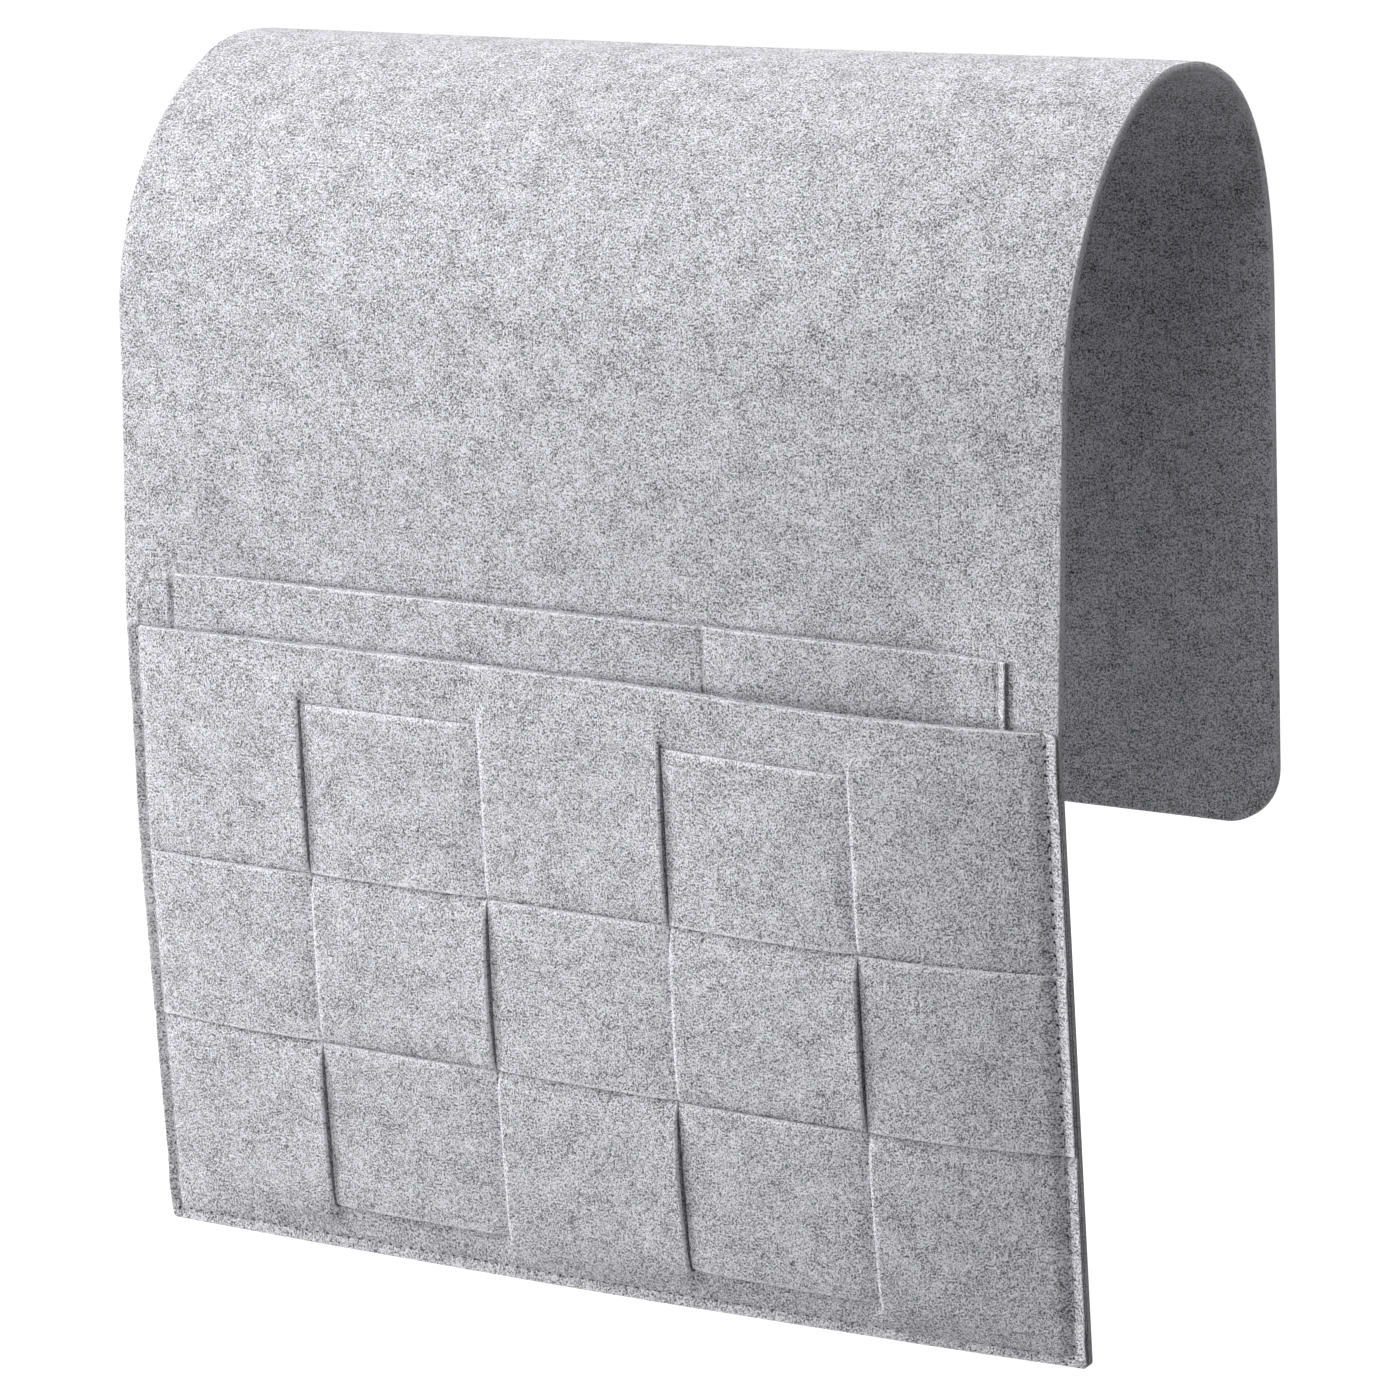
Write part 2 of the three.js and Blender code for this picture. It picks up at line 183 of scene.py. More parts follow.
HALF_WIDTH = outer_high[0]
HEM_Z = outer_low[2]
OUTER_TOP_Z = outer_high[2]
INNER_EDGE_X = inner_high[0]
INNER_TOP_Z = inner_high[2]
INNER_HEM_Z = inner_low[2]
POCKET_Y = flap_low[1]
BEND_Z = OUTER_TOP_Z + BEND_ABOVE_POCKET
SHOULDER = hinges["front_flap_fold"][1:]
BACK_SHOULDER = hinges["back_flap_fold"][1:]
BACK_BOTTOM = np.array([back_low[1] + FELT, back_low[2]])
DIVIDER_X = (divider_low[0] + divider_high[0]) / 2
OUTER_SEAM_X = HALF_WIDTH - SEAM_INSET
OUTER_SEAM_Z = HEM_Z + SEAM_INSET
INNER_SEAM_X = INNER_EDGE_X - SEAM_INSET
INNER_SEAM_Z = INNER_HEM_Z + SEAM_INSET
COLUMN_PITCH = 2 * HALF_WIDTH / COLUMNS
SLITS = -HALF_WIDTH + COLUMN_PITCH * np.arange(1, COLUMNS)
strip_lows, strip_tops = np.transpose([(low[2], high[2]) for low, high in strips])
BORDERS = np.concatenate([strip_tops[:1], (strip_lows[:-1] + strip_tops[1:]) / 2, strip_lows[-1:]])
WEAVE_TOP_Z, WEAVE_BOTTOM_Z = BORDERS[0], BORDERS[-1]

# Plain helpers


def ramp(t):
    return np.clip(t, 0.0, 1.0)


def smooth(t):
    t = ramp(t)
    return t * t * (3 - 2 * t)


def joined(*parts):
    return np.stack(np.broadcast_arrays(*parts), axis=-1)


def lerp(a, b, t):
    return a + (b - a) * t


def between(value, low, high, blend):
    """One from low to high, with soft ends."""
    return smooth((high - value) / blend + 0.5) * smooth((value - low) / blend + 0.5)


def ease_out(t):
    return 1 - (1 - ramp(t)) ** 2


def in_rows(z, overrun=0.0):
    return (z < WEAVE_TOP_Z + overrun) & (z > WEAVE_BOTTOM_Z - overrun)


def rounding(distance, radius=EDGE_ROUNDING):
    """How far a face falls back near an edge."""
    inside = ramp(1 - distance / radius)
    return radius * (1 - np.sqrt(1 - inside**2))


FAR = 99.0
TINY = 1e-6
LINE_ROOM = 0.55  # in plain steps, from a plain line to the dense ones
LEAST_STEP = 0.03
EDGE_STEPS = np.array([0.0, 0.05, 0.15, 0.35, 0.6, 1.0, 1.7])
GROOVE_STEPS = np.array([-5.0, -3.6, -2.4, -1.4, -0.6, 0.0, 0.5, 1.1])
DIVIDER_STEPS = np.array([0, 0.4, 0.9, 1.6, 2.6, 4, 6, 9, 12, 16, 20, 24])
SLIT_STEPS = np.array([0.0, 0.06, 0.2, 0.5, 0.9, 1.4, 2.0, 2.8, 4.0, 5.5, 7.0, 9.0, 12.0, 16.0])
ROLL_STEPS = np.array([0.0, 0.06, 0.2, 0.5, 0.9, 1.4, 2.0, 3.0])
BORDER_STEPS = np.array([0.04, 0.5, 1.2, 2.0, 3.0, 4.2, 5.6, 7.0])
JOIN_STEPS = np.array([0.0, 0.05, 0.5, 1.1, 2.0])


def grid_lines(low, high, *dense):
    """Grid lines from low to high: the dense ones, and plain ones where there is room between them."""
    fixed = np.unique(np.round(np.concatenate([np.atleast_1d(d) for d in dense]), 4))
    fixed = fixed[(fixed >= low - TINY) & (fixed <= high + TINY)]
    plain = np.linspace(low, high, int(round((high - low) / GRID_STEP)) + 1)
    room = np.abs(plain[:, None] - fixed[None, :]).min(axis=1) > LINE_ROOM * GRID_STEP
    merged = np.sort(np.concatenate([fixed, plain[room]]))
    return merged[np.concatenate([[True], np.diff(merged) > LEAST_STEP])]


def both_sides(places, steps):
    return np.concatenate([np.concatenate([p - steps, p + steps]) for p in places])


def inside_corner(x, y, half_width, low, high, radius):
    """Distance inwards from the outline of a rectangle with round corners."""
    centre = (low + high) / 2
    qx = np.abs(x) - (half_width - radius)
    qy = np.abs(y - centre) - ((high - low) / 2 - radius)
    outside = np.hypot(np.maximum(qx, 0), np.maximum(qy, 0))
    return np.maximum(radius - outside - np.minimum(np.maximum(qx, qy), 0), 0)


def add_object(name, data):
    piece = bpy.data.objects.new(name, data)
    bpy.context.scene.collection.objects.link(piece)
    return piece


# A felt layer: two grids of points, joined by a wall round every edge

BACK_GRAIN = np.array([0.0, 1000.0])  # the grain of a layer's back is taken from this far away
STRIP_GRAIN = np.array([40.0, 400.0])  # and that of every strip and of the inner panel
INNER_GRAIN = np.array([75.0, 2000.0])
SEAM_CONTRAST = 2.2  # painted shade darkens a groove from SEAM_START / SEAM_CONTRAST of its depth on
SEAM_START = 1.5


def store(layer, field, values):
    layer.data.foreach_set(field, np.asarray(values, np.float32).ravel())


def felt_mesh(name, front, back, uv, to_edge, keep=None, seam=None, place=None, is_sheet=False):
    count_u, count_v = front.shape[:2]
    keep = np.ones((count_u - 1, count_v - 1), bool) if keep is None else keep
    index = np.arange(count_u * count_v).reshape(count_u, count_v)
    total = index.size
    padded = np.pad(keep, 1)
    corners = [index[:-1, :-1], index[1:, :-1], index[1:, 1:], index[:-1, 1:]]
    neighbours = [padded[1:-1, :-2], padded[2:, 1:-1], padded[1:-1, 2:], padded[:-2, 1:-1]]
    near = np.stack([c[keep] for c in corners], axis=1)
    faces = [near, near[:, ::-1] + total]
    uv_front = uv.reshape(-1, 2)
    uv_back = uv_front + BACK_GRAIN
    uv_wall = uv_front + FELT
    loops = [uv_front[near], uv_back[near[:, ::-1]]]
    # painted highlight on the faces near every cut edge
    painted_edge_light = ramp(1 - to_edge.ravel() / PAINTED_HIGHLIGHT_WIDTH)
    painted_edge_lights = [painted_edge_light[near], painted_edge_light[near[:, ::-1]]]
    for k in range(4):
        edge = keep & ~neighbours[k]
        a = corners[k][edge]
        b = corners[(k + 1) % 4][edge]
        faces.append(np.stack([b, a, a + total, b + total], axis=1))
        loops.append(np.stack([uv_front[b], uv_front[a], uv_wall[a], uv_wall[b]], axis=1))
        # painted light and shade on each cut face, by the side it faces
        painted_edge_lights.append(np.full((len(a), 4), SHEET_CUT_FACE_PAINTED_LIGHT_AND_SHADE[k] if is_sheet else PAINTED_CUT_FACE_SHADE[k]))
    first_end, last_end = np.cumsum([len(f) for f in faces])[3:5]
    faces = np.concatenate(faces)
    points = np.concatenate([front.reshape(-1, 3), back.reshape(-1, 3)])
    used = np.unique(faces)
    renumber = np.zeros(len(points), int)
    renumber[used] = np.arange(len(used))
    mesh = bpy.data.meshes.new(name)
    mesh.from_pydata((points[used] * MM).tolist(), [], renumber[faces].tolist(), shade_flat=False)
    store(mesh.uv_layers.new(name="felt"), "uv", np.concatenate(loops) * MM)
    if place is not None:
        on_both = np.concatenate([place.reshape(-1, 2), np.zeros((total, 2))])
        store(mesh.uv_layers.new(name="place"), "uv", on_both[faces] * MM)
    # painted shade: dark in the deep part of a seam groove and beside strip edges
    pressed = np.zeros(total) if seam is None else ramp(seam.ravel() * SEAM_CONTRAST - SEAM_START)
    store(mesh.attributes.new("seam", "FLOAT", "POINT"), "value", np.concatenate([pressed, pressed])[used])
    store(mesh.attributes.new("painted_edge_light", "FLOAT", "CORNER"), "value", np.concatenate(painted_edge_lights))
    if is_sheet:
        sharpen(mesh, mesh.polygons[first_end:last_end])
    mesh.validate()
    return add_object(name, mesh)


def sharpen(mesh, faces):
    """Keeps the hidden end of a half sheet out of the shading beside it."""
    sharp = {tuple(sorted(pair)) for face in faces for pair in face.edge_keys}
    for edge in mesh.edges:
        edge.use_edge_sharp = tuple(sorted(edge.vertices)) in sharp


# The sheet's outer face in side view

STRAIGHT_POINTS = 60
BEND_POINTS = 40
CROWN_POINTS = 160
CORNER_POINTS = 12


def bezier(a, b, c, d, count):
    t = np.linspace(0, 1, count)[:, None]
    return (1 - t) ** 3 * a + 3 * t * (1 - t) ** 2 * b + 3 * t**2 * (1 - t) * c + t**3 * d


def unit(v):
    return v / np.linalg.norm(v)


class SideProfile:
    """The line from the front hem over the arch to the back hem, measured along itself."""

    def __init__(self):
        hem = np.array([POCKET_Y, HEM_Z])
        bend = np.array([POCKET_Y, BEND_Z])
        apex = np.array([0.0, FELT])
        self.up_front = unit(SHOULDER - bend)
        self.up_back = unit(BACK_SHOULDER - BACK_BOTTOM)
        below = bend - np.array([0.0, BEND_SOFTNESS])
        above = bend + self.up_front * BEND_SOFTNESS
        shoulder_up = SHOULDER + self.up_front * SHOULDER_ROUNDNESS
        front_crown = apex - np.array([FRONT_CROWN_ROUNDNESS, 0.0])
        back_crown = apex + np.array([BACK_CROWN_ROUNDNESS, 0.0])
        back_up = BACK_SHOULDER + self.up_back * BACK_ROUNDNESS
        stretches = [
            np.linspace(hem, below, STRAIGHT_POINTS),
            bezier(below, bend, bend, above, BEND_POINTS),
            np.linspace(above, SHOULDER, BEND_POINTS),
            bezier(SHOULDER, shoulder_up, front_crown, apex, CROWN_POINTS),
            bezier(apex, back_crown, back_up, BACK_SHOULDER, CROWN_POINTS),
            np.linspace(BACK_SHOULDER, BACK_BOTTOM, STRAIGHT_POINTS),
        ]
        points = np.concatenate([stretches[0]] + [s[1:] for s in stretches[1:]])
        self.along = np.concatenate([[0.0], np.cumsum(np.linalg.norm(np.diff(points, axis=0), axis=1))])
        tangents = np.gradient(points, self.along, axis=0)
        self.points = points
        self.tangents = tangents / np.linalg.norm(tangents, axis=1)[:, None]
        self.length = self.along[-1]
        self.apex = self.along[sum(len(s) for s in stretches[:4]) - 4]

    def at(self, s):
        """Points and inward normals at lengths s."""
        values = (*self.points.T, *self.tangents.T)
        y, z, along_y, along_z = (np.interp(s, self.along, v) for v in values)
        return joined(y, z), joined(along_z, -along_y) / np.hypot(along_y, along_z)[..., None]


profile = SideProfile()
JOIN_S = profile.apex + JOIN_PAST_APEX


def sheet_depth(x, z):
    """How far the front flap lies behind the line between its side seams."""
    lower = lerp(MOUTH_DEPTH, SHEET_DEPTH, smooth((BEND_Z - z) / MOUTH_SPREAD))
    fade = 1 - smooth((z - BEND_Z) / DISH_RISE)
    from_side = smooth((OUTER_SEAM_X - np.abs(x)) / DISH_SIDE)
    from_hem = smooth((z - OUTER_SEAM_Z) / DISH_SIDE)
    return lower * fade * np.minimum(from_side, from_hem)


def sheet_squeeze(x, z):
    """Felt is thinner where the outer seam presses it."""
    beside = smooth((np.abs(x) - OUTER_SEAM_X) / SQUEEZE_SPREAD + 1) * (z < OUTER_TOP_Z + SEAM_INSET)
    below = smooth((OUTER_SEAM_Z - z) / SQUEEZE_SPREAD + 1)
    return 1 - (1 - SHEET_SQUEEZE) * np.maximum(beside, below)


def hem_skew(x, z):
    """How much higher the hem hangs than a level one; the plain band above it takes it up."""
    share = smooth((WEAVE_BOTTOM_Z - z) / (WEAVE_BOTTOM_Z - HEM_Z))
    across = x / HALF_WIDTH
    return (lerp(HEM_LEFT, HEM_RIGHT, (across + 1) / 2) - HEM_SAG * (1 - across**2)) * share


def mouth_skew(x, z):
    share = smooth((z - WEAVE_TOP_Z) / (OUTER_TOP_Z - WEAVE_TOP_Z))
    return MOUTH_LEFT * ramp((SLITS[-1] - x) / (SLITS[-1] + HALF_WIDTH)) * share


def near_left(x):
    return smooth((-HALF_WIDTH - x) / CORNER_WIDTH + 1)


def left_outset(x, z):
    """How far out the flap's left edge stands, growing from the pocket's mouth to the hem."""
    down = ease_out((OUTER_TOP_Z - z) / (OUTER_TOP_Z - HEM_Z))
    return LOWER_LEFT_OUT * down * near_left(x)


def arch_shift(x, s):
    """How far the arch stands out at its left shoulder, and how far its crown sags."""
    from_apex = s - profile.apex
    shoulder = smooth(1 - np.abs(from_apex + SHOULDER_PLACE) / SHOULDER_SPREAD)
    crown = smooth(1 - np.abs(from_apex) / CROWN_SPREAD)
    out = SHOULDER_OUT * shoulder * smooth(-x / HALF_WIDTH)
    return out, CROWN_SAG * crown * smooth((HALF_WIDTH - x) / HALF_WIDTH)


side_edges = (HALF_WIDTH - EDGE_STEPS, EDGE_STEPS - HALF_WIDTH)
SHEET_LINES = grid_lines(-HALF_WIDTH, HALF_WIDTH, *side_edges)


def sheet_grid(lines_s, end_radius, is_back):
    """Half the sheet: its outer and inner face, places on the felt and distances from the edges."""
    x, s = np.meshgrid(SHEET_LINES, lines_s, indexing="ij")
    to_end = profile.length - s if is_back else s
    x = x * (HALF_WIDTH - rounding(to_end, end_radius)) / HALF_WIDTH
    to_edge = inside_corner(x, to_end, HALF_WIDTH, 0.0, 3 * profile.length, end_radius)
    point, inwards = profile.at(s)
    z = point[..., 1]
    in_front = smooth((profile.apex - s) / DISH_END)
    depth = sheet_depth(x, z) * in_front
    thickness = lerp(FELT, FELT * sheet_squeeze(x, z), in_front)
    fall = rounding(to_edge)
    out, sag = arch_shift(x, s)
    shift = joined(-left_outset(x, z) * in_front, -out, hem_skew(x, z) - sag)
    faces = []
    for level in (depth + fall, depth + thickness - fall):
        face = np.concatenate([x[..., None], point + inwards * level[..., None]], axis=-1)
        faces.append(face + shift)
    return *faces, joined(x, s), to_edge


def sheet_front():
    lines_s = grid_lines(0, JOIN_S, EDGE_STEPS, JOIN_S - JOIN_STEPS)
    outer, inner, uv, to_edge = sheet_grid(lines_s, SQUARE_CORNER, is_back=False)
    return felt_mesh("felt_sheet_front", outer, inner, uv, to_edge, is_sheet=True)


def sheet_back():
    end = profile.length
    corner = BACK_CORNER_RADIUS * (1 - np.cos(np.linspace(0, math.pi / 2, CORNER_POINTS)))
    lines_s = grid_lines(JOIN_S, end, end - EDGE_STEPS, end - corner, JOIN_S + JOIN_STEPS)
    outer, inner, uv, to_edge = sheet_grid(lines_s[::-1], BACK_CORNER_RADIUS, is_back=True)
    return felt_mesh("felt_sheet_back", inner, outer, uv, to_edge, is_sheet=True)


# The pocket layers, as levels in front of the pocket plane


def level_points(x, z, level):
    return joined(x, POCKET_Y - level, z)


def in_weave(z):
    """One where the strips are, and nought in the plain bands above and below them."""
    return between(z, WEAVE_BOTTOM_Z, WEAVE_TOP_Z, WEAVE_BLEND)


def from_side(x):
    """Nought in the side seams of the outer pocket, and one where they no longer draw it in."""
    return 1 - (1 - ramp((OUTER_SEAM_X - np.abs(x)) / SIDE_SPREAD)) ** SIDE_POWER


def stand_out(x, z):
    """Nought in the seam round the outer pocket, and one where the pocket stands out fully."""
    return from_side(x) * ease_out((z - OUTER_SEAM_Z) / HEM_SPREAD)


def pocket_front(x, z):
    """The pocket gapes more to the right and below."""
    upper = lerp(UPPER_LEFT_FRONT, UPPER_RIGHT_FRONT, smooth(x / SLITS[-1]))
    lower = lerp(LOWER_LEFT_FRONT, LOWER_RIGHT_FRONT, smooth(x / (2 * SLITS[-1]) + 0.5))
    return lerp(upper, lower, smooth((WEAVE_TOP_Z - z) / (WEAVE_TOP_Z - BORDERS[2])))


def outer_squeeze(x, z):
    """Share of its thickness that a layer of the outer pocket keeps: the seam round it presses it."""
    middle_row = between(z, BORDERS[2], BORDERS[1], ROW_BLEND) * (x > 0)
    woven = lerp(OUTER_ROW_SQUEEZE, MIDDLE_ROW_SQUEEZE, middle_row)
    pressed = lerp(BAND_SQUEEZE, woven, in_weave(z))
    return lerp(pressed, 1.0, from_side(x) * smooth((z - OUTER_SEAM_Z) / HEM_PRESS))


def outer_middle(x, z):
    """The middle between the woven layers, and of the plain bands above and below them."""
    seat = LAYER_GAP + lerp(FELT / 2, FELT + LAYER_GAP / 2, in_weave(z)) * outer_squeeze(x, z)
    return lerp(seat, pocket_front(x, z), stand_out(x, z))


def column_of(x):
    return np.clip(np.floor((x + HALF_WIDTH) / COLUMN_PITCH), 0, COLUMNS - 1).astype(int)


def row_of(z):
    return np.clip(np.searchsorted(-BORDERS, -z, side="left") - 1, 0, 2)


def from_slits(x):
    return np.abs(x[..., None] - SLITS).min(axis=-1)


def column_leads(x, z):
    """Whether the panel's column lies in front of the strip there."""
    return (column_of(x) + row_of(z)) % 2 == 0


def outer_column_share(x, z):
    """One on columns 1, 3 and 5, nought on 2 and 4; past the ends of the slits they blend."""
    beyond = np.maximum(0, np.maximum(z - WEAVE_TOP_Z, WEAVE_BOTTOM_Z - z))
    blur = lerp(SLIT_BLUR, BAND_BLUR, smooth(beyond / BLUR_LENGTH))
    share = np.ones_like(x)
    for left, right in zip(SLITS[::2], SLITS[1::2]):
        share -= between(x, left, right, 2 * blur)
    return share


def column_swing(x, z):
    """How far the panel swings, from 1 in front of a strip to -1 behind it."""
    share = outer_column_share(x, z)
    z = z + TUCK_SHIFT
    nearer = np.where(z > (BORDERS[1] + BORDERS[2]) / 2, z - BORDERS[1], BORDERS[2] - z)
    turn = np.sign(nearer) * ease_out(np.abs(nearer) / COLUMN_TUCK)
    past_top = (z - WEAVE_TOP_Z) / (OUTER_TOP_Z - WEAVE_TOP_Z)
    past_bottom = (WEAVE_BOTTOM_Z - z) / (WEAVE_BOTTOM_Z - HEM_Z)
    held = 1 - BAND_SETTLE * smooth(np.maximum(past_top, past_bottom))
    to_end = np.minimum(WEAVE_TOP_Z - z, z - WEAVE_BOTTOM_Z)
    tucked = smooth((to_end + DIP_LENGTH) / (DIP_LENGTH + COLUMN_TUCK))
    return lerp(-turn * tucked, turn * held, share)


def woven_layers(x, z):
    """Front and back levels of the panel and of the strips."""
    half = FELT / 2 * outer_squeeze(x, z)
    relief = half + LAYER_GAP / 2
    leads = column_leads(x, z)
    panel = relief * column_swing(x, z)
    from_slit = from_slits(x)
    arch = (ease_out(from_slit / STRIP_TUCK) + ease_out(from_slit / STRIP_ARCH)) / 2
    strip = np.where(leads, -1, 1) * relief * arch
    middle = outer_middle(x, z)
    meeting = (panel + strip) / 2
    gap = LAYER_GAP / 2
    crossing = in_rows(z)
    row = row_of(z)
    under = smooth(np.minimum(BORDERS[row] - z, z - BORDERS[row + 1]) / UNDER_EDGE)
    covered = lerp(panel + half, meeting - gap, under)
    panel_front = np.where(leads | ~crossing, panel + half, covered)
    panel_back = np.where(leads & crossing, meeting + gap, panel - half)
    strip_front = np.where(leads, meeting - gap, strip + half)
    strip_back = np.where(leads, strip - half, np.maximum(meeting + gap, covered + 2 * gap))
    return (middle + panel_front, middle + panel_back), (middle + strip_front, middle + strip_back)


def outer_groove(x, z):
    """The groove that the seam round the outer pocket draws, as a depth."""
    along_side = np.where(z > OUTER_SEAM_Z, np.abs(x) - OUTER_SEAM_X, FAR)
    along_hem = np.where(np.abs(x) < OUTER_SEAM_X, OUTER_SEAM_Z - z, FAR)
    groove = np.zeros_like(x)
    for off, width, share in ((along_side, GROOVE_INSIDE, 1.0), (along_hem, HEM_GROOVE_INSIDE, HEM_GROOVE)):
        outside = ramp(1 - off / GROOVE_OUTSIDE)
        inside = ramp(1 + off / width) ** 2
        groove = np.maximum(groove, share * np.where(off > 0, outside, inside))
    return GROOVE_DEPTH * groove


def edge_lift(x, z):
    """How far a column's right edge stands up where it lies in front."""
    row = row_of(z)
    top, bottom = BORDERS[row], BORDERS[row + 1]
    along = np.clip((z - bottom) / (top - bottom) * 2 - 1, -1, 1)
    to_right = SLITS - x[..., None]
    to_right = np.where(to_right < 0, FAR, to_right).min(axis=-1)
    return EDGE_LIFT * (1 - ease_out(to_right / EDGE_LIFT_WIDTH)) * (1 - along**2)


def sewn_inset(x, z):
    """How far right the outer pocket is sewn on: further in at its upper left corner and its right seam."""
    height = smooth((z - OUTER_TOP_Z) / CORNER_HEIGHT + 1)
    left = CORNER_INSET * height * near_left(x) - left_outset(x, z)
    from_edge = ramp((HALF_WIDTH - x) / SEAM_INSET)
    return left - RIGHT_ALLOWANCE * from_edge * smooth((x - OUTER_SEAM_X) / ALLOWANCE_SPREAD + 1)


def strip_edge_shadow(x, z):
    """How dark the painted shadow is on a column beside the edge of a strip that lies over it, fading away
    from the strip.
    """
    is_outer = column_of(x) % 2 == 0
    lower = np.where(is_outer, BORDERS[2], np.where(z > BORDERS[2], BORDERS[1], BORDERS[3]))
    upper = np.where(is_outer, BORDERS[1], BORDERS[2])
    below = np.where(z < lower, lower - z, STRIP_SHADOW_WIDTH)
    above = np.where(z > upper, z - upper, STRIP_SHADOW_WIDTH)
    off = np.minimum(below, above) / STRIP_SHADOW_WIDTH
    return np.where(off < 1, STRIP_SHADOW_TONE * (1 - STRIP_SHADOW_FADE * off), 0.0)


def slit_distance(x, z, from_right=False):
    """Distance from the nearest slit, or from the nearest one at the left."""
    beyond = np.maximum(z - WEAVE_TOP_Z, WEAVE_BOTTOM_Z - z) - SLIT_OVERRUN
    off = x[..., None] - SLITS
    off = np.where(off < 0, FAR, off) if from_right else np.abs(off)
    across = np.maximum(off.min(axis=-1) - SLIT_GAP / 2, 0)
    return np.hypot(across, np.maximum(beyond, 0))


seam_lines = np.concatenate([HALF_WIDTH - EDGE_STEPS, OUTER_SEAM_X + GROOVE_STEPS])
slit_lines = both_sides(SLITS, SLIT_STEPS + SLIT_GAP / 2)
WOVEN_LINES = grid_lines(-HALF_WIDTH, HALF_WIDTH, seam_lines, -seam_lines, slit_lines)


def soften(front, back, to_edge, to_roll=None):
    """Rounds both faces off towards the edges, and rolls the front off towards some of them."""
    limit = SOFT_SHARE * np.maximum(front - back, THINNEST)
    fall = np.minimum(rounding(to_edge), limit)
    drop = fall
    if to_roll is not None:
        roll = ROLL_DROP * ramp(1 - to_roll / ROLL_WIDTH) ** ROLL_POWER
        drop = np.maximum(fall, np.minimum(roll, limit))
    return front - drop, back + fall


def press(front, back, groove, is_top):
    """Draws a layer in along the seam: two layers on each other share the groove."""
    return front - np.where(is_top, groove, groove / 2), back - np.where(is_top, groove / 2, 0.0)


def outer_panel():
    lines_z = grid_lines(
        HEM_Z,
        OUTER_TOP_Z,
        HEM_Z + EDGE_STEPS,
        OUTER_SEAM_Z - GROOVE_STEPS,
        both_sides(BORDERS, BORDER_STEPS),
        [WEAVE_BOTTOM_Z - SLIT_OVERRUN, WEAVE_TOP_Z + SLIT_OVERRUN],
        OUTER_TOP_Z - EDGE_STEPS,
    )
    x, z = np.meshgrid(WOVEN_LINES, lines_z, indexing="ij")
    leads = column_leads(x, z)
    crossing = in_rows(z)
    front, back = woven_layers(x, z)[0]
    narrow = rounding(np.minimum(z - HEM_Z, OUTER_TOP_Z - z), SQUARE_CORNER)
    round_x = x * (HALF_WIDTH - narrow) / HALF_WIDTH
    edge = inside_corner(round_x, z, HALF_WIDTH, HEM_Z, OUTER_TOP_Z, SQUARE_CORNER)
    to_edge = np.minimum(edge, slit_distance(x, z))
    to_roll = slit_distance(x, z, from_right=True)
    front, back = soften(front, back, to_edge, to_roll)
    front = front + np.where(leads, edge_lift(x, z), 0.0)
    groove = outer_groove(x, z)
    pressed_front, pressed_back = press(front, back, groove, leads)
    front = np.where(crossing, pressed_front, front - groove)
    back = np.where(crossing, pressed_back, back)
    middle_x = (WOVEN_LINES[1:] + WOVEN_LINES[:-1]) / 2
    middle_z = (lines_z[1:] + lines_z[:-1]) / 2
    keep = ~((from_slits(middle_x) < SLIT_GAP / 2)[:, None] & in_rows(middle_z, SLIT_OVERRUN))
    uv = joined(x, z)
    z = z + hem_skew(x, z) + mouth_skew(x, z)
    x = round_x + sewn_inset(x, z)
    points = [level_points(x, z, level) for level in (front, back)]
    # the painted highlight reaches twice as far in from a column's left edge
    to_edge = np.minimum(to_edge, to_roll / 2)
    # painted shade in the seam groove and painted shadow beside strips that lie over a column
    pressed = np.maximum(groove / GROOVE_DEPTH, strip_edge_shadow(x, uv[..., 1]))
    return felt_mesh("outer_panel", *points, uv, to_edge, keep, pressed, uv)


def woven_strip(row):
    top = BORDERS[row] - STRIP_CLEARANCE
    bottom = BORDERS[row + 1] + STRIP_CLEARANCE
    lines_z = grid_lines(bottom, top, bottom + EDGE_STEPS, top - ROLL_STEPS)
    x, z = np.meshgrid(WOVEN_LINES, lines_z, indexing="ij")
    to_edge = inside_corner(x, z, HALF_WIDTH, bottom, top, TINY)
    front, back = soften(*woven_layers(x, z)[1], to_edge, np.maximum(top - z, 0))
    groove = outer_groove(x, z)
    front, back = press(front, back, groove, ~column_leads(x, z))
    place = joined(x, z)
    uv = place + STRIP_GRAIN * (row, row + 1)
    x = x + sewn_inset(x, z)
    points = [level_points(x, z, level) for level in (front, back)]
    # the painted highlight reaches twice as far in on a strip; the groove depth gives the painted shade
    return felt_mesh(f"felt_strip_{row + 1}", *points, uv, to_edge / 2, None, groove / GROOVE_DEPTH, place)


# The inner pocket


def sheet_level(x, z):
    """The sheet's outer face as a level over the pocket plane."""
    lean = (SHOULDER[0] - POCKET_Y) / (SHOULDER[1] - BEND_Z)
    return -np.maximum(0, z - BEND_Z) * lean - sheet_depth(x, z)


def inner_groove(x):
    """The grooves that the inner pocket's side seams and its divider draw, as a depth."""
    off = np.abs(x) - INNER_SEAM_X
    outside = ramp(1 - off / np.where(x < 0, INNER_GROOVE_LEFT, GROOVE_OUTSIDE))
    inside = ramp(1 + off / INNER_GROOVE_INSIDE) ** 2
    divider = ramp(1 - np.abs(x - DIVIDER_X) / DIVIDER_GROOVE) ** 2
    return INNER_GROOVE * np.maximum(np.where(off > 0, outside, inside), DIVIDER_DEPTH * divider)


def inner_outset(x):
    """How far out the inner pocket's left side lies; its allowance is narrower by half of it."""
    past_seam = ramp((-INNER_SEAM_X - x) / SEAM_INSET)
    return INNER_LEFT_OUT * smooth((-x - INNER_SEAM_X / 2) / (INNER_SEAM_X / 2)) * (1 - past_seam / 2)


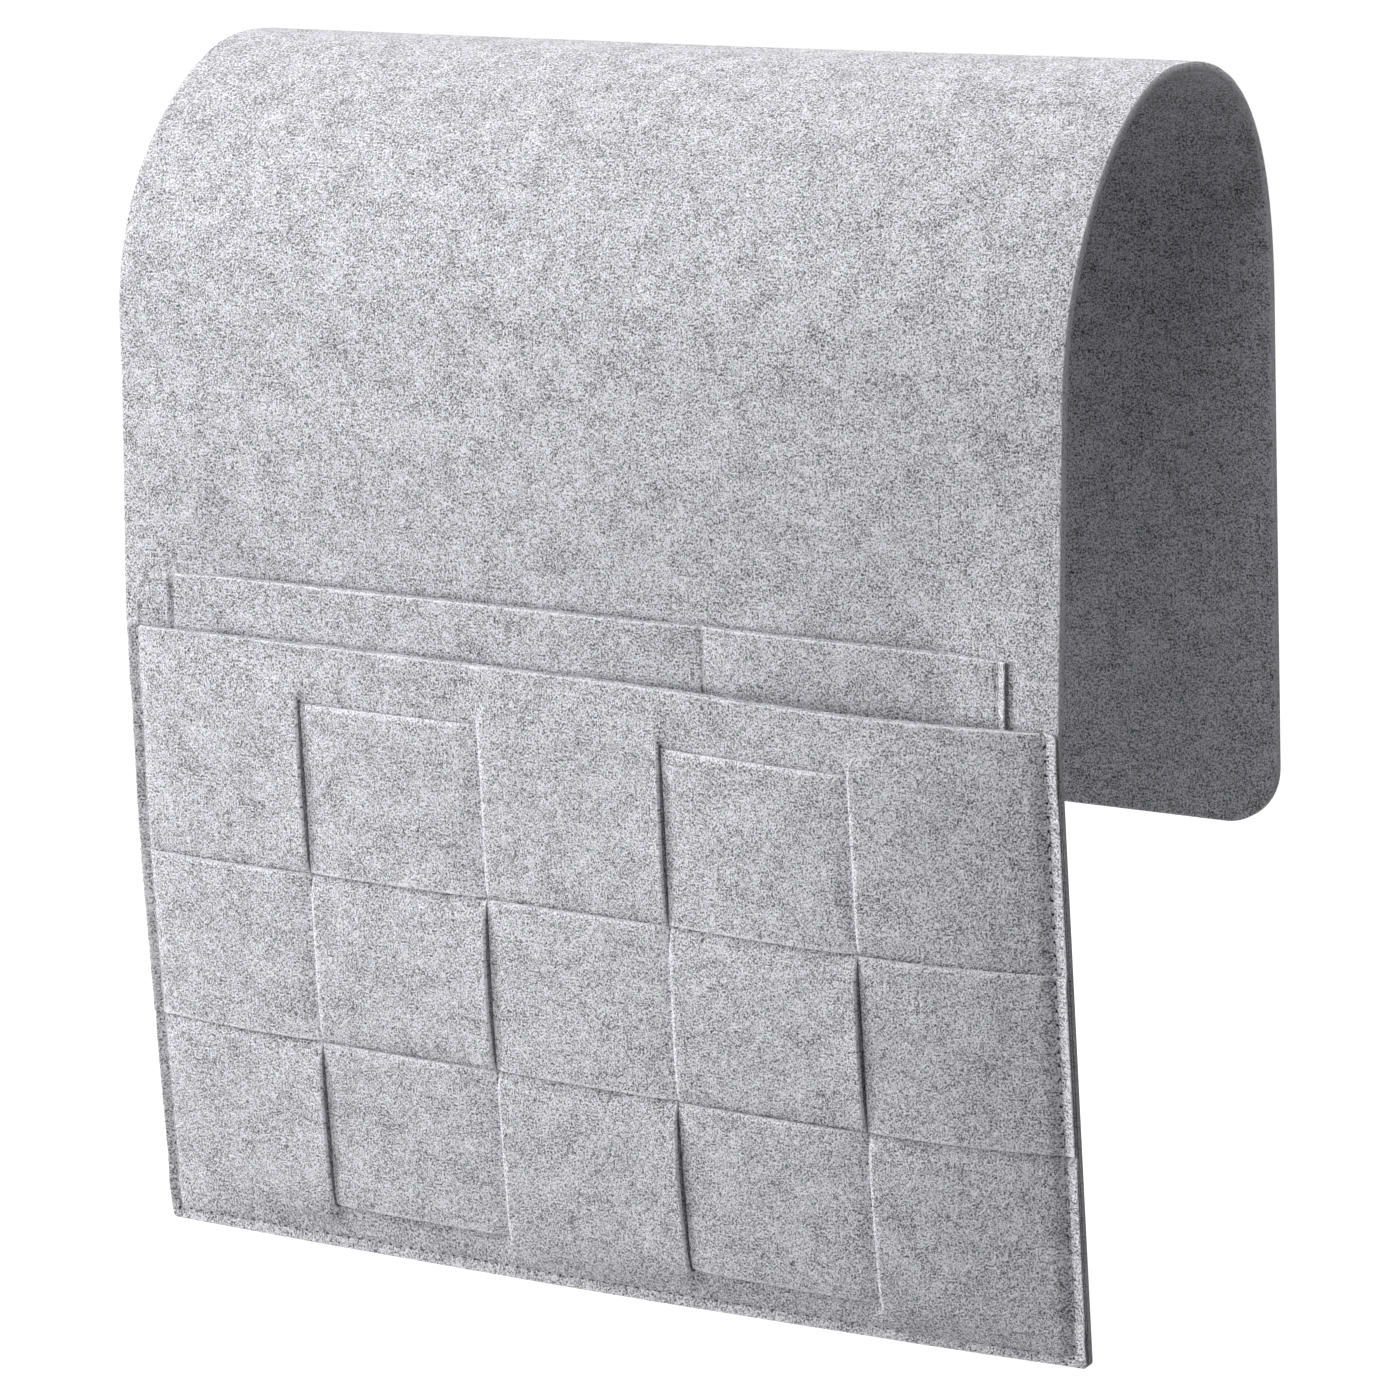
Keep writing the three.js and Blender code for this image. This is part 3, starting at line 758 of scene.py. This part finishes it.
def inner_half(x):
    """Half the inner panel's thickness: its seams press it."""
    return FELT / 2 * lerp(INNER_SQUEEZE, 1.0, smooth((INNER_SEAM_X - np.abs(x)) / INNER_SQUEEZE_SPREAD))


def inner_middle(x, z):
    sewn = sheet_level(x, z) + LAYER_GAP + inner_half(x)
    from_side = smooth((INNER_SEAM_X - np.abs(x)) / INNER_SPREAD)
    from_hem = smooth((z - INNER_SEAM_Z) / INNER_SPREAD)
    from_divider = ease_out(np.abs(x - DIVIDER_X) / DIVIDER_SPREAD)
    free = np.maximum(sewn, -INNER_DEPTH)
    return lerp(sewn, free, from_side * from_hem * from_divider)


def inner_panel():
    seam = np.concatenate([INNER_EDGE_X - EDGE_STEPS, INNER_SEAM_X + GROOVE_STEPS])
    divider = both_sides([DIVIDER_X], DIVIDER_STEPS)
    lines_x = grid_lines(-INNER_EDGE_X, INNER_EDGE_X, seam, -seam, divider)
    ends = (INNER_HEM_Z + EDGE_STEPS, INNER_TOP_Z - EDGE_STEPS)
    lines_z = grid_lines(INNER_HEM_Z, INNER_TOP_Z, *ends)
    x, z = np.meshgrid(lines_x, lines_z, indexing="ij")
    middle = inner_middle(x, z)
    edge = inside_corner(x, z, INNER_EDGE_X, INNER_HEM_Z, INNER_TOP_Z, TINY)
    front, back = soften(middle + inner_half(x), middle - inner_half(x), edge)
    groove = inner_groove(x)
    front = front - groove
    uv = joined(x, z) + INNER_GRAIN
    x = x - inner_outset(x)
    points = [level_points(x, z, level) for level in (front, back)]
    # painted highlight near the edges, and painted shade in the seam and divider grooves
    return felt_mesh("inner_panel", *points, uv, edge, None, groove / INNER_GROOVE)


# Nodes


def add_socket(tree, name, kind, value=None, output=False):
    side = "OUTPUT" if output else "INPUT"
    socket = tree.interface.new_socket(name, in_out=side, socket_type="NodeSocket" + kind)
    if value is not None:
        socket.default_value = value
    return socket.identifier


class Wiring:
    """Short forms for making nodes and joining them."""

    def __init__(self, tree):
        self.tree = tree

    def put(self, socket, value):
        if hasattr(value, "is_output"):
            self.tree.links.new(value, socket)
        else:
            socket.default_value = value

    def fill(self, node, inputs):
        for socket, value in inputs.items():
            self.put(node.inputs[socket], value)

    def node(self, kind, inputs=None, **settings):
        node = self.tree.nodes.new(kind)
        for key, value in settings.items():
            setattr(node, key, value)
        self.fill(node, inputs or {})
        return node

    def math(self, operation, first, second=0.0, clamp=False):
        inputs = {0: first, 1: second}
        return self.node("ShaderNodeMath", inputs, operation=operation, use_clamp=clamp).outputs[0]

    def stretch(self, value, low, high, new_low=0.0, new_high=1.0, clamp=True):
        ends = {"From Min": low, "From Max": high, "To Min": new_low, "To Max": new_high}
        return self.node("ShaderNodeMapRange", {"Value": value, **ends}, clamp=clamp).outputs["Result"]

    def noise(self, vector, scale, detail, roughness=0.5):
        inputs = {"Vector": vector, "Scale": scale, "Detail": detail, "Roughness": roughness}
        return self.node("ShaderNodeTexNoise", inputs).outputs

    def turned(self, vector, angle, size):
        """Places measured along turned axes, in lengths and widths of one fibre."""
        inputs = {"Vector": vector, "Rotation": (0.0, 0.0, angle), "Scale": (*size, 1.0)}
        return self.node("ShaderNodeMapping", inputs, vector_type="TEXTURE").outputs["Vector"]

    def mix(self, share, first, second):
        inputs = {"Factor": share, "A": first, "B": second}
        return self.node("ShaderNodeMix", inputs, data_type="RGBA").outputs["Result"]

    def bump(self, height, strength, distance):
        inputs = {"Height": height, "Strength": strength, "Distance": distance}
        return self.node("ShaderNodeBump", inputs).outputs["Normal"]

    def seen(self):
        """One for what the camera sees, also in a reflection or through glass."""
        path = self.node("ShaderNodeLightPath").outputs
        seen = self.math("MAXIMUM", path["Is Camera Ray"], path["Is Glossy Ray"])
        return self.math("MAXIMUM", seen, path["Is Transmission Ray"])


# Stitches

STITCH_DIP = -1.6  # in radii of the thread: its ends go into the felt, and its middle lies on it
STITCH_RISE = 1.4
STITCH_POINTS = 5
THREAD_SIDES = 6
ON_THE_FELT = 0.6 * THREAD_RADIUS  # from the felt to the line that the stitches follow
SIDE_POINTS = 180
HEM_POINTS = 320
DIVIDER_POINTS = 160


def lockstitch_tree():
    """Lays one thread stitch on every step of a seam line."""
    tree = bpy.data.node_groups.new("lockstitch", "GeometryNodeTree")
    add_socket(tree, "Seam line", "Geometry")
    for name, size in (
        ("Stitch length", STITCH_LENGTH),
        ("Gap between stitches", STITCH_GAP),
        ("Thread radius", THREAD_RADIUS),
    ):
        add_socket(tree, name, "Float", size * MM)
    ids = {
        "outwards": add_socket(tree, "Outwards", "Vector", (0.0, -1.0, 0.0)),
        "material": add_socket(tree, "Thread", "Material"),
    }
    add_socket(tree, "Stitches", "Geometry", output=True)
    wire = Wiring(tree)
    given = wire.node("NodeGroupInput").outputs
    length, radius = given["Stitch length"], given["Thread radius"]

    curve = wire.node("GeometryNodeMeshToCurve", {"Mesh": given["Seam line"]}).outputs["Curve"]
    run = wire.node("GeometryNodeSplineLength").outputs["Length"]
    count = wire.math("ADD", wire.math("ROUND", wire.math("DIVIDE", run, length)), 1)
    even = wire.node("GeometryNodeResampleCurve", {"Curve": curve, "Count": count}).outputs["Curve"]
    points = wire.node("GeometryNodeCurveToPoints", {"Curve": even}, mode="EVALUATED").outputs

    turn = "FunctionNodeAlignRotationToVector"
    along = wire.node(turn, {"Vector": points["Tangent"]}, axis="X").outputs["Rotation"]
    up = {"Rotation": along, "Vector": given["Outwards"]}
    upright = wire.node(turn, up, axis="Z", pivot_axis="X").outputs["Rotation"]

    half = wire.math("MULTIPLY", wire.math("SUBTRACT", length, given["Gap between stitches"]), 0.5)
    dip = wire.math("MULTIPLY", radius, STITCH_DIP)
    rise = wire.math("MULTIPLY", radius, STITCH_RISE)
    bow = wire.node("GeometryNodeCurveQuadraticBezier", {"Resolution": STITCH_POINTS})
    for socket, side, height in (("Start", -1, dip), ("Middle", 0, rise), ("End", 1, dip)):
        place = wire.node("ShaderNodeCombineXYZ", {"X": wire.math("MULTIPLY", half, side), "Z": height})
        wire.fill(bow, {socket: place.outputs["Vector"]})
    section = wire.node("GeometryNodeCurvePrimitiveCircle", {"Resolution": THREAD_SIDES, "Radius": radius})
    form = {"Curve": bow.outputs["Curve"], "Profile Curve": section.outputs["Curve"], "Fill Caps": True}
    stitch = wire.node("GeometryNodeCurveToMesh", form).outputs["Mesh"]

    row = {"Points": points["Points"], "Instance": stitch, "Rotation": upright}
    laid = wire.node("GeometryNodeInstanceOnPoints", row).outputs["Instances"]
    real = wire.node("GeometryNodeRealizeInstances", {"Geometry": laid}).outputs["Geometry"]
    paint = wire.node("GeometryNodeSetMaterial", {"Geometry": real, "Material": given["Thread"]})
    wire.node("NodeGroupOutput", {"Stitches": paint.outputs["Geometry"]})
    return tree, ids


def even_step(length):
    """The stitch length at which a run of stitches comes out even."""
    return length / round(length / STITCH_LENGTH)


def seam_runs(seam_x, seam_z, top_z, left_extra=0):
    """The straight runs of a U-shaped seam, from the middle of the first stitch to that of the last."""
    side = even_step(top_z - seam_z)
    hem = even_step(2 * seam_x)
    rise = np.linspace(seam_z + side / 2, top_z - side / 2, SIDE_POINTS)
    left_rise = np.linspace(seam_z + side / 2, top_z + (left_extra - 0.5) * side, SIDE_POINTS)
    across = np.linspace(-seam_x + hem / 2, seam_x - hem / 2, HEM_POINTS)
    return [joined(-seam_x, left_rise), joined(across, seam_z), joined(seam_x, rise)]


def stitches(name, runs, level, outwards, tree, ids, thread):
    """A seam's stitches on one face, as a plain mesh."""
    points = []
    edges = []
    for run in runs:
        first = sum(len(p) for p in points)
        x, z = run.T
        is_outer = np.abs(x) > INNER_EDGE_X
        inset = np.where(is_outer, sewn_inset(x, z), -inner_outset(x))
        lift = np.where(is_outer, hem_skew(x, z) + mouth_skew(x, z), 0.0)
        points.append(level_points(x + inset, z + lift, level(x, z)))
        edges += [(first + k, first + k + 1) for k in range(len(run) - 1)]
    line = bpy.data.meshes.new(name + "_line")
    line.from_pydata((np.concatenate(points) * MM).tolist(), edges, [])
    holder = add_object(name + "_line", line)
    modifier = holder.modifiers.new("lockstitch", "NODES")
    modifier.node_group = tree
    modifier[ids["outwards"]] = (0.0, -1.0 if outwards else 1.0, 0.0)
    modifier[ids["material"]] = thread
    graph = bpy.context.evaluated_depsgraph_get()
    mesh = bpy.data.meshes.new_from_object(holder.evaluated_get(graph), depsgraph=graph)
    bpy.data.objects.remove(holder)
    mesh.name = name
    mesh.shade_smooth()
    return add_object(name, mesh)


def outer_front_level(x, z):
    """The visible front along the outer seam: panel or strip, whichever leads there."""
    (panel, _), (strip, _) = woven_layers(x, z)
    level = np.where(in_rows(z), np.maximum(panel, strip), panel) - outer_groove(x, z)
    return np.where(z > OUTER_TOP_Z, sheet_level(x, z), level) + ON_THE_FELT


def inner_front_level(x, z):
    level = inner_middle(x, z) + inner_half(x) - inner_groove(x)
    return np.where(z > INNER_TOP_Z, sheet_level(x, z), level) + ON_THE_FELT


def sheet_back_level(x, z):
    return sheet_level(x, z) - FELT * sheet_squeeze(x, z) - ON_THE_FELT


# Materials

FELT_TINT = (1.0, 0.99, 1.055)
LIGHT_FIBRE = 0.94
DARK_FIBRE = 0.09
FIBRE_ANGLES = (0.2, 1.0, 1.8, 2.6)
FIBRE_LENGTH = 0.0022  # in metres
FIBRE_WIDTH = 0.00038
FIBRE_DRIFT = (0.0016, 0.0016, 0.0)  # how far the fibres wander
DRIFT_SCALE = 400.0  # waves in a metre
SPECK_SCALE = 1700.0
SPECK_SHARE = 0.4  # of the grain; the fibres are the rest
GRAIN_RANGE = (0.441, 0.590)  # from the dark fibre's colour to the light one's
MOTTLING_SCALE = 90.0
MOTTLING_SHARE = 0.24
PAINTED_EDGE_LIGHT_SHARE = 0.42  # how much the painted edge light changes the colour: a painted highlight on a cut edge, painted light and shade on a cut face
PAINTED_SHADE_SHARE = 0.35  # how much the painted shade darkens a groove or a crease
NOISE_RANGE = (0.3, 0.7)
FELT_BUMP = (0.8, 0.0018)  # strength and height
# painted shade inside the needle holes
HOLE_SHADE_TONE = 0.02
HOLE_EDGE = (0.6, 1.2)  # in radii: where a hole begins to fade and where it ends
THREAD_TONES = (0.5, 0.8)
THREAD_LAY = (0.0011, 0.0003)  # length and width of a ridge
THREAD_SLANT = 0.8
THREAD_BUMP = (0.4, 0.0002)


def colour(level):
    return tuple(level * t for t in FELT_TINT) + (1.0,)


def shader_group(name, inputs, outputs):
    tree = bpy.data.node_groups.new(name, "ShaderNodeTree")
    for socket, kind, value in inputs:
        add_socket(tree, socket, kind, value)
    for socket, kind in outputs:
        add_socket(tree, socket, kind, output=True)
    wire = Wiring(tree)
    return wire, wire.node("NodeGroupInput").outputs, wire.node("NodeGroupOutput")


def felt_group():
    """Pressed felt: matted fibres that cross each other, on fine and broad mottling."""
    wire, given, result = shader_group(
        "pressed_felt",
        [
            ("Place", "Vector", None),
            ("Light fibre", "Color", colour(LIGHT_FIBRE)),
            ("Dark fibre", "Color", colour(DARK_FIBRE)),
            ("Painted shade", "Float", 0.0),
            ("Painted edge light", "Float", 0.0),
        ],
        [("Colour", "Color"), ("Height", "Float"), ("Roughness", "Float")],
    )
    place = given["Place"]
    drift = {0: wire.noise(place, DRIFT_SCALE, 1.0)["Color"], 1: FIBRE_DRIFT, 2: place}
    shifted = wire.node("ShaderNodeVectorMath", drift, operation="MULTIPLY_ADD").outputs["Vector"]
    layers = []
    for angle in FIBRE_ANGLES:
        along = wire.turned(shifted, angle, (FIBRE_LENGTH, FIBRE_WIDTH))
        layers.append(wire.noise(along, 1.0, 1.0)["Fac"])
    over = wire.math("MAXIMUM", layers[0], layers[2])
    under = wire.math("MAXIMUM", layers[1], layers[3])
    fibres = wire.math("ADD", wire.math("MULTIPLY", over, 0.5), wire.math("MULTIPLY", under, 0.5))
    specks = wire.math("MULTIPLY", wire.noise(place, SPECK_SCALE, 1.0, 0.6)["Fac"], SPECK_SHARE)
    mottling = wire.noise(place, MOTTLING_SCALE, 3.0, 1.0)["Fac"]
    grain = wire.math("ADD", wire.math("MULTIPLY", fibres, 1 - SPECK_SHARE), specks)
    broad = wire.stretch(mottling, *NOISE_RANGE, -MOTTLING_SHARE, MOTTLING_SHARE, clamp=False)
    share = wire.math("ADD", wire.stretch(grain, *GRAIN_RANGE, clamp=False), broad)
    # painted highlight on cut edges, painted light and shade on cut faces
    share = wire.math("ADD", share, wire.math("MULTIPLY", given["Painted edge light"], PAINTED_EDGE_LIGHT_SHARE))
    # painted shade in grooves and beside strip edges
    share = wire.math("SUBTRACT", share, wire.math("MULTIPLY", given["Painted shade"], PAINTED_SHADE_SHARE), clamp=True)
    shown = {
        "Colour": wire.mix(share, given["Dark fibre"], given["Light fibre"]),
        "Height": grain,
        "Roughness": wire.stretch(grain, *NOISE_RANGE, 0.98, 0.88),
    }
    wire.fill(result, shown)
    return wire.tree


def needle_hole_group():
    """Painted shade: dark holes at the ends of the stitches round the outer pocket."""
    wire, given, result = shader_group(
        "needle_holes",
        [
            ("Place", "Vector", None),
            ("Seam side", "Float", OUTER_SEAM_X * MM),
            ("Seam bottom", "Float", OUTER_SEAM_Z * MM),
            ("Side stitch", "Float", even_step(OUTER_TOP_Z - OUTER_SEAM_Z) * MM),
            ("Hem stitch", "Float", even_step(2 * OUTER_SEAM_X) * MM),
            ("Hole radius", "Float", HOLE_RADIUS * MM),
            ("Side slimness", "Float", 1.1),
            ("Hem slimness", "Float", 1.5),
        ],
        [("Hole", "Float")],
    )
    place = wire.node("ShaderNodeSeparateXYZ", {"Vector": given["Place"]}).outputs
    above = wire.math("SUBTRACT", place["Y"], given["Seam bottom"])
    beside = wire.math("SUBTRACT", wire.math("ABSOLUTE", place["X"]), given["Seam side"])
    from_left = wire.math("ADD", place["X"], given["Seam side"])

    def holes(along, across, step, slimness):
        count = wire.math("DIVIDE", along, step)
        off = wire.math("MULTIPLY", wire.math("SUBTRACT", count, wire.math("ROUND", count)), step)
        off = wire.math("DIVIDE", off, slimness)
        across = wire.math("MULTIPLY", across, slimness)
        square = wire.math("ADD", wire.math("MULTIPLY", off, off), wire.math("MULTIPLY", across, across))
        near = wire.math("DIVIDE", wire.math("SQRT", square), given["Hole radius"])
        return wire.stretch(near, *HOLE_EDGE, 1.0, 0.0)

    side = holes(above, beside, given["Side stitch"], given["Side slimness"])
    hem = holes(from_left, above, given["Hem stitch"], given["Hem slimness"])
    wire.fill(result, {"Hole": wire.math("MAXIMUM", side, hem)})
    return wire.tree


def new_material(name):
    material = bpy.data.materials.new(name)
    material.use_nodes = True
    return material, Wiring(material.node_tree), material.node_tree.nodes


def felt_material(group, hole_group):
    material, wire, nodes = new_material("light_grey_felt")
    given = {
        "Place": wire.node("ShaderNodeUVMap", uv_map="felt").outputs["UV"],
        # painted shade in grooves and beside strip edges, and painted light and shade at cut edges
        "Painted shade": wire.node("ShaderNodeAttribute", attribute_name="seam").outputs["Fac"],
        "Painted edge light": wire.node("ShaderNodeAttribute", attribute_name="painted_edge_light").outputs["Fac"],
    }
    felt = wire.node("ShaderNodeGroup", given, node_tree=group).outputs
    place = wire.node("ShaderNodeUVMap", uv_map="place").outputs["UV"]
    hole = wire.node("ShaderNodeGroup", {"Place": place}, node_tree=hole_group).outputs["Hole"]
    look = {
        # painted shade in the needle holes
        "Base Color": wire.mix(hole, felt["Colour"], colour(HOLE_SHADE_TONE)),
        "Roughness": felt["Roughness"],
        "Normal": wire.bump(felt["Height"], *FELT_BUMP),
        "Specular IOR Level": 0.12,
        "Sheen Weight": 0.12,
        "Sheen Roughness": 0.6,
    }
    wire.fill(nodes["Principled BSDF"], look)
    return material


def thread_material():
    """Spun thread: fine ridges that run round it on a slant."""
    material, wire, nodes = new_material("grey_thread")
    place = wire.node("ShaderNodeTexCoord").outputs["Object"]
    lay = wire.noise(wire.turned(place, THREAD_SLANT, THREAD_LAY), 1.0, 2.0)["Fac"]
    look = {
        "Base Color": wire.mix(wire.stretch(lay, 0.35, 0.65), *(colour(t) for t in THREAD_TONES)),
        "Roughness": wire.stretch(lay, *NOISE_RANGE, 0.75, 0.6),
        "Normal": wire.bump(lay, *THREAD_BUMP),
        "Specular IOR Level": 0.2,
    }
    wire.fill(nodes["Principled BSDF"], look)
    return material


# Floor, light and camera

FLOOR_Z = -0.85
FLOOR_REACH = 12.0
FLOOR_GREY = (0.6, 0.6, 0.6, 1.0)
GLOW_RING = (1.0, 1.7)  # the floor glows white from the outer of these distances on
GLOW_RANGE = (0.25, 1.0)


def white_floor():
    mesh = bpy.data.meshes.new("floor")
    corners = [(x * FLOOR_REACH, y * FLOOR_REACH, FLOOR_Z) for x, y in ((-1, -1), (1, -1), (1, 1), (-1, 1))]
    mesh.from_pydata(corners, [], [(0, 1, 2, 3)])
    material, wire, nodes = new_material("white_floor")
    nodes.remove(nodes["Principled BSDF"])
    matte = wire.node("ShaderNodeBsdfDiffuse", {"Color": FLOOR_GREY}).outputs["BSDF"]
    place = wire.node("ShaderNodeTexCoord").outputs["Object"]
    away = wire.node("ShaderNodeVectorMath", {0: place}, operation="LENGTH").outputs["Value"]
    strength = wire.math("MULTIPLY", wire.seen(), wire.stretch(away, *GLOW_RING, *GLOW_RANGE))
    glow = wire.node("ShaderNodeEmission", {"Strength": strength}).outputs["Emission"]
    total = wire.node("ShaderNodeAddShader", {0: matte, 1: glow}).outputs["Shader"]
    wire.fill(nodes["Material Output"], {"Surface": total})
    mesh.materials.append(material)
    add_object("floor", mesh)


def studio_world(strength):
    world = bpy.data.worlds.new("studio")
    bpy.context.scene.world = world
    world.use_nodes = True
    wire = Wiring(world.node_tree)
    light = wire.stretch(wire.seen(), 0.0, 1.0, strength, 1.0)
    wire.fill(world.node_tree.nodes["Background"], {"Color": (1.0, 1.0, 1.0, 1.0), "Strength": light})


LAMP_TARGET = Vector((0.0, -0.05, -0.15))


def soft_lamp(name, left, up, distance, size, power):
    """A round lamp, placed by its angles to the left of the front and above the level."""
    lamp = bpy.data.lights.new(name, "AREA")
    lamp.shape = "DISK"
    lamp.size = size
    lamp.energy = power
    around, above = math.radians(left), math.radians(up)
    level = math.cos(above)
    away = Vector((-math.sin(around) * level, -math.cos(around) * level, math.sin(above)))
    place = LAMP_TARGET + away * distance
    turn = away.to_track_quat("Z", "Y").to_matrix().to_4x4()
    add_object(name, lamp).matrix_world = Matrix.Translation(place) @ turn


CAMERA_PLACE = (0.9032, -1.3362, 0.2609)
CAMERA_RIGHT = (0.8343, 0.5474, -0.0653)
CAMERA_UP = (-0.0958, 0.2606, 0.9607)
CAMERA_LENS = 146.0
CAMERA_SENSOR = 36.0
CAMERA_RANGE = 60.0


def photo_camera():
    data = bpy.data.cameras.new("camera")
    data.sensor_width = CAMERA_SENSOR
    data.lens = CAMERA_LENS
    data.clip_end = CAMERA_RANGE
    camera = add_object("camera", data)
    right = Vector(CAMERA_RIGHT).normalized()
    back = right.cross(Vector(CAMERA_UP)).normalized()
    up = back.cross(right)
    turn = Matrix((right, up, back)).transposed().to_4x4()
    camera.matrix_world = Matrix.Translation(CAMERA_PLACE) @ turn
    bpy.context.scene.camera = camera


photo_camera()
white_floor()
studio_world(0.04)
soft_lamp("key", 72, 0, 1.9, 0.9, 7.0)
soft_lamp("front", 10, -3, 0.45, 0.3, 0.8)
soft_lamp("side", 64, 19, 1.15, 0.5, 10.6)
soft_lamp("overhead", -95, 78, 1.2, 0.9, 9.0)
soft_lamp("fill", -17, 74, 1.8, 0.9, 5.4)
soft_lamp("back", 165, 35, 1.8, 0.9, 14.0)
bpy.context.scene.view_settings.view_transform = "Standard"

# The pieces

felt = felt_material(felt_group(), needle_hole_group())
thread = thread_material()


def finish_felt(piece, *nodes):
    piece.data.materials.append(felt)
    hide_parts(*nodes)
    return piece


front_sheet = finish_felt(sheet_front(), "sheet_saddle", "sheet_front_flap")
back_sheet = finish_felt(sheet_back(), "sheet_back_flap")
inner = finish_felt(inner_panel(), "inner_pocket_panel")
outer = finish_felt(outer_panel(), "outer_pocket_panel")
woven = [finish_felt(woven_strip(row), f"woven_strip_{row + 1}") for row in range(3)]


for piece, flap, fold, up in (
    (front_sheet, "front_flap", SHOULDER, profile.up_front),
    (back_sheet, "back_flap", BACK_SHOULDER, profile.up_back),
):
    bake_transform(piece)
for piece in (inner, outer, *woven):
    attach(piece, "front_flap")

tree, ids = lockstitch_tree()
outer_runs = seam_runs(OUTER_SEAM_X, OUTER_SEAM_Z, OUTER_TOP_Z, BACK_TACK)
inner_runs = seam_runs(INNER_SEAM_X, INNER_SEAM_Z, INNER_TOP_Z)
divider_z = np.linspace(INNER_SEAM_Z + STITCH_LENGTH, INNER_TOP_Z - STITCH_LENGTH / 2, DIVIDER_POINTS)
divider_runs = [joined(DIVIDER_X, divider_z)]
for seam_name, runs, front_level in (
    ("outer_seam", outer_runs, outer_front_level),
    ("inner_seam", inner_runs, inner_front_level),
    ("divider_seam", divider_runs, inner_front_level),
):
    for side, level, outwards in (("needle", front_level, True), ("bobbin", sheet_back_level, False)):
        name = f"{seam_name}_{side}_stitches"
        piece = stitches(name, runs, level, outwards, tree, ids, thread)
        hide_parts(f"{seam_name}_{side}_thread")
        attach(piece, "front_flap")
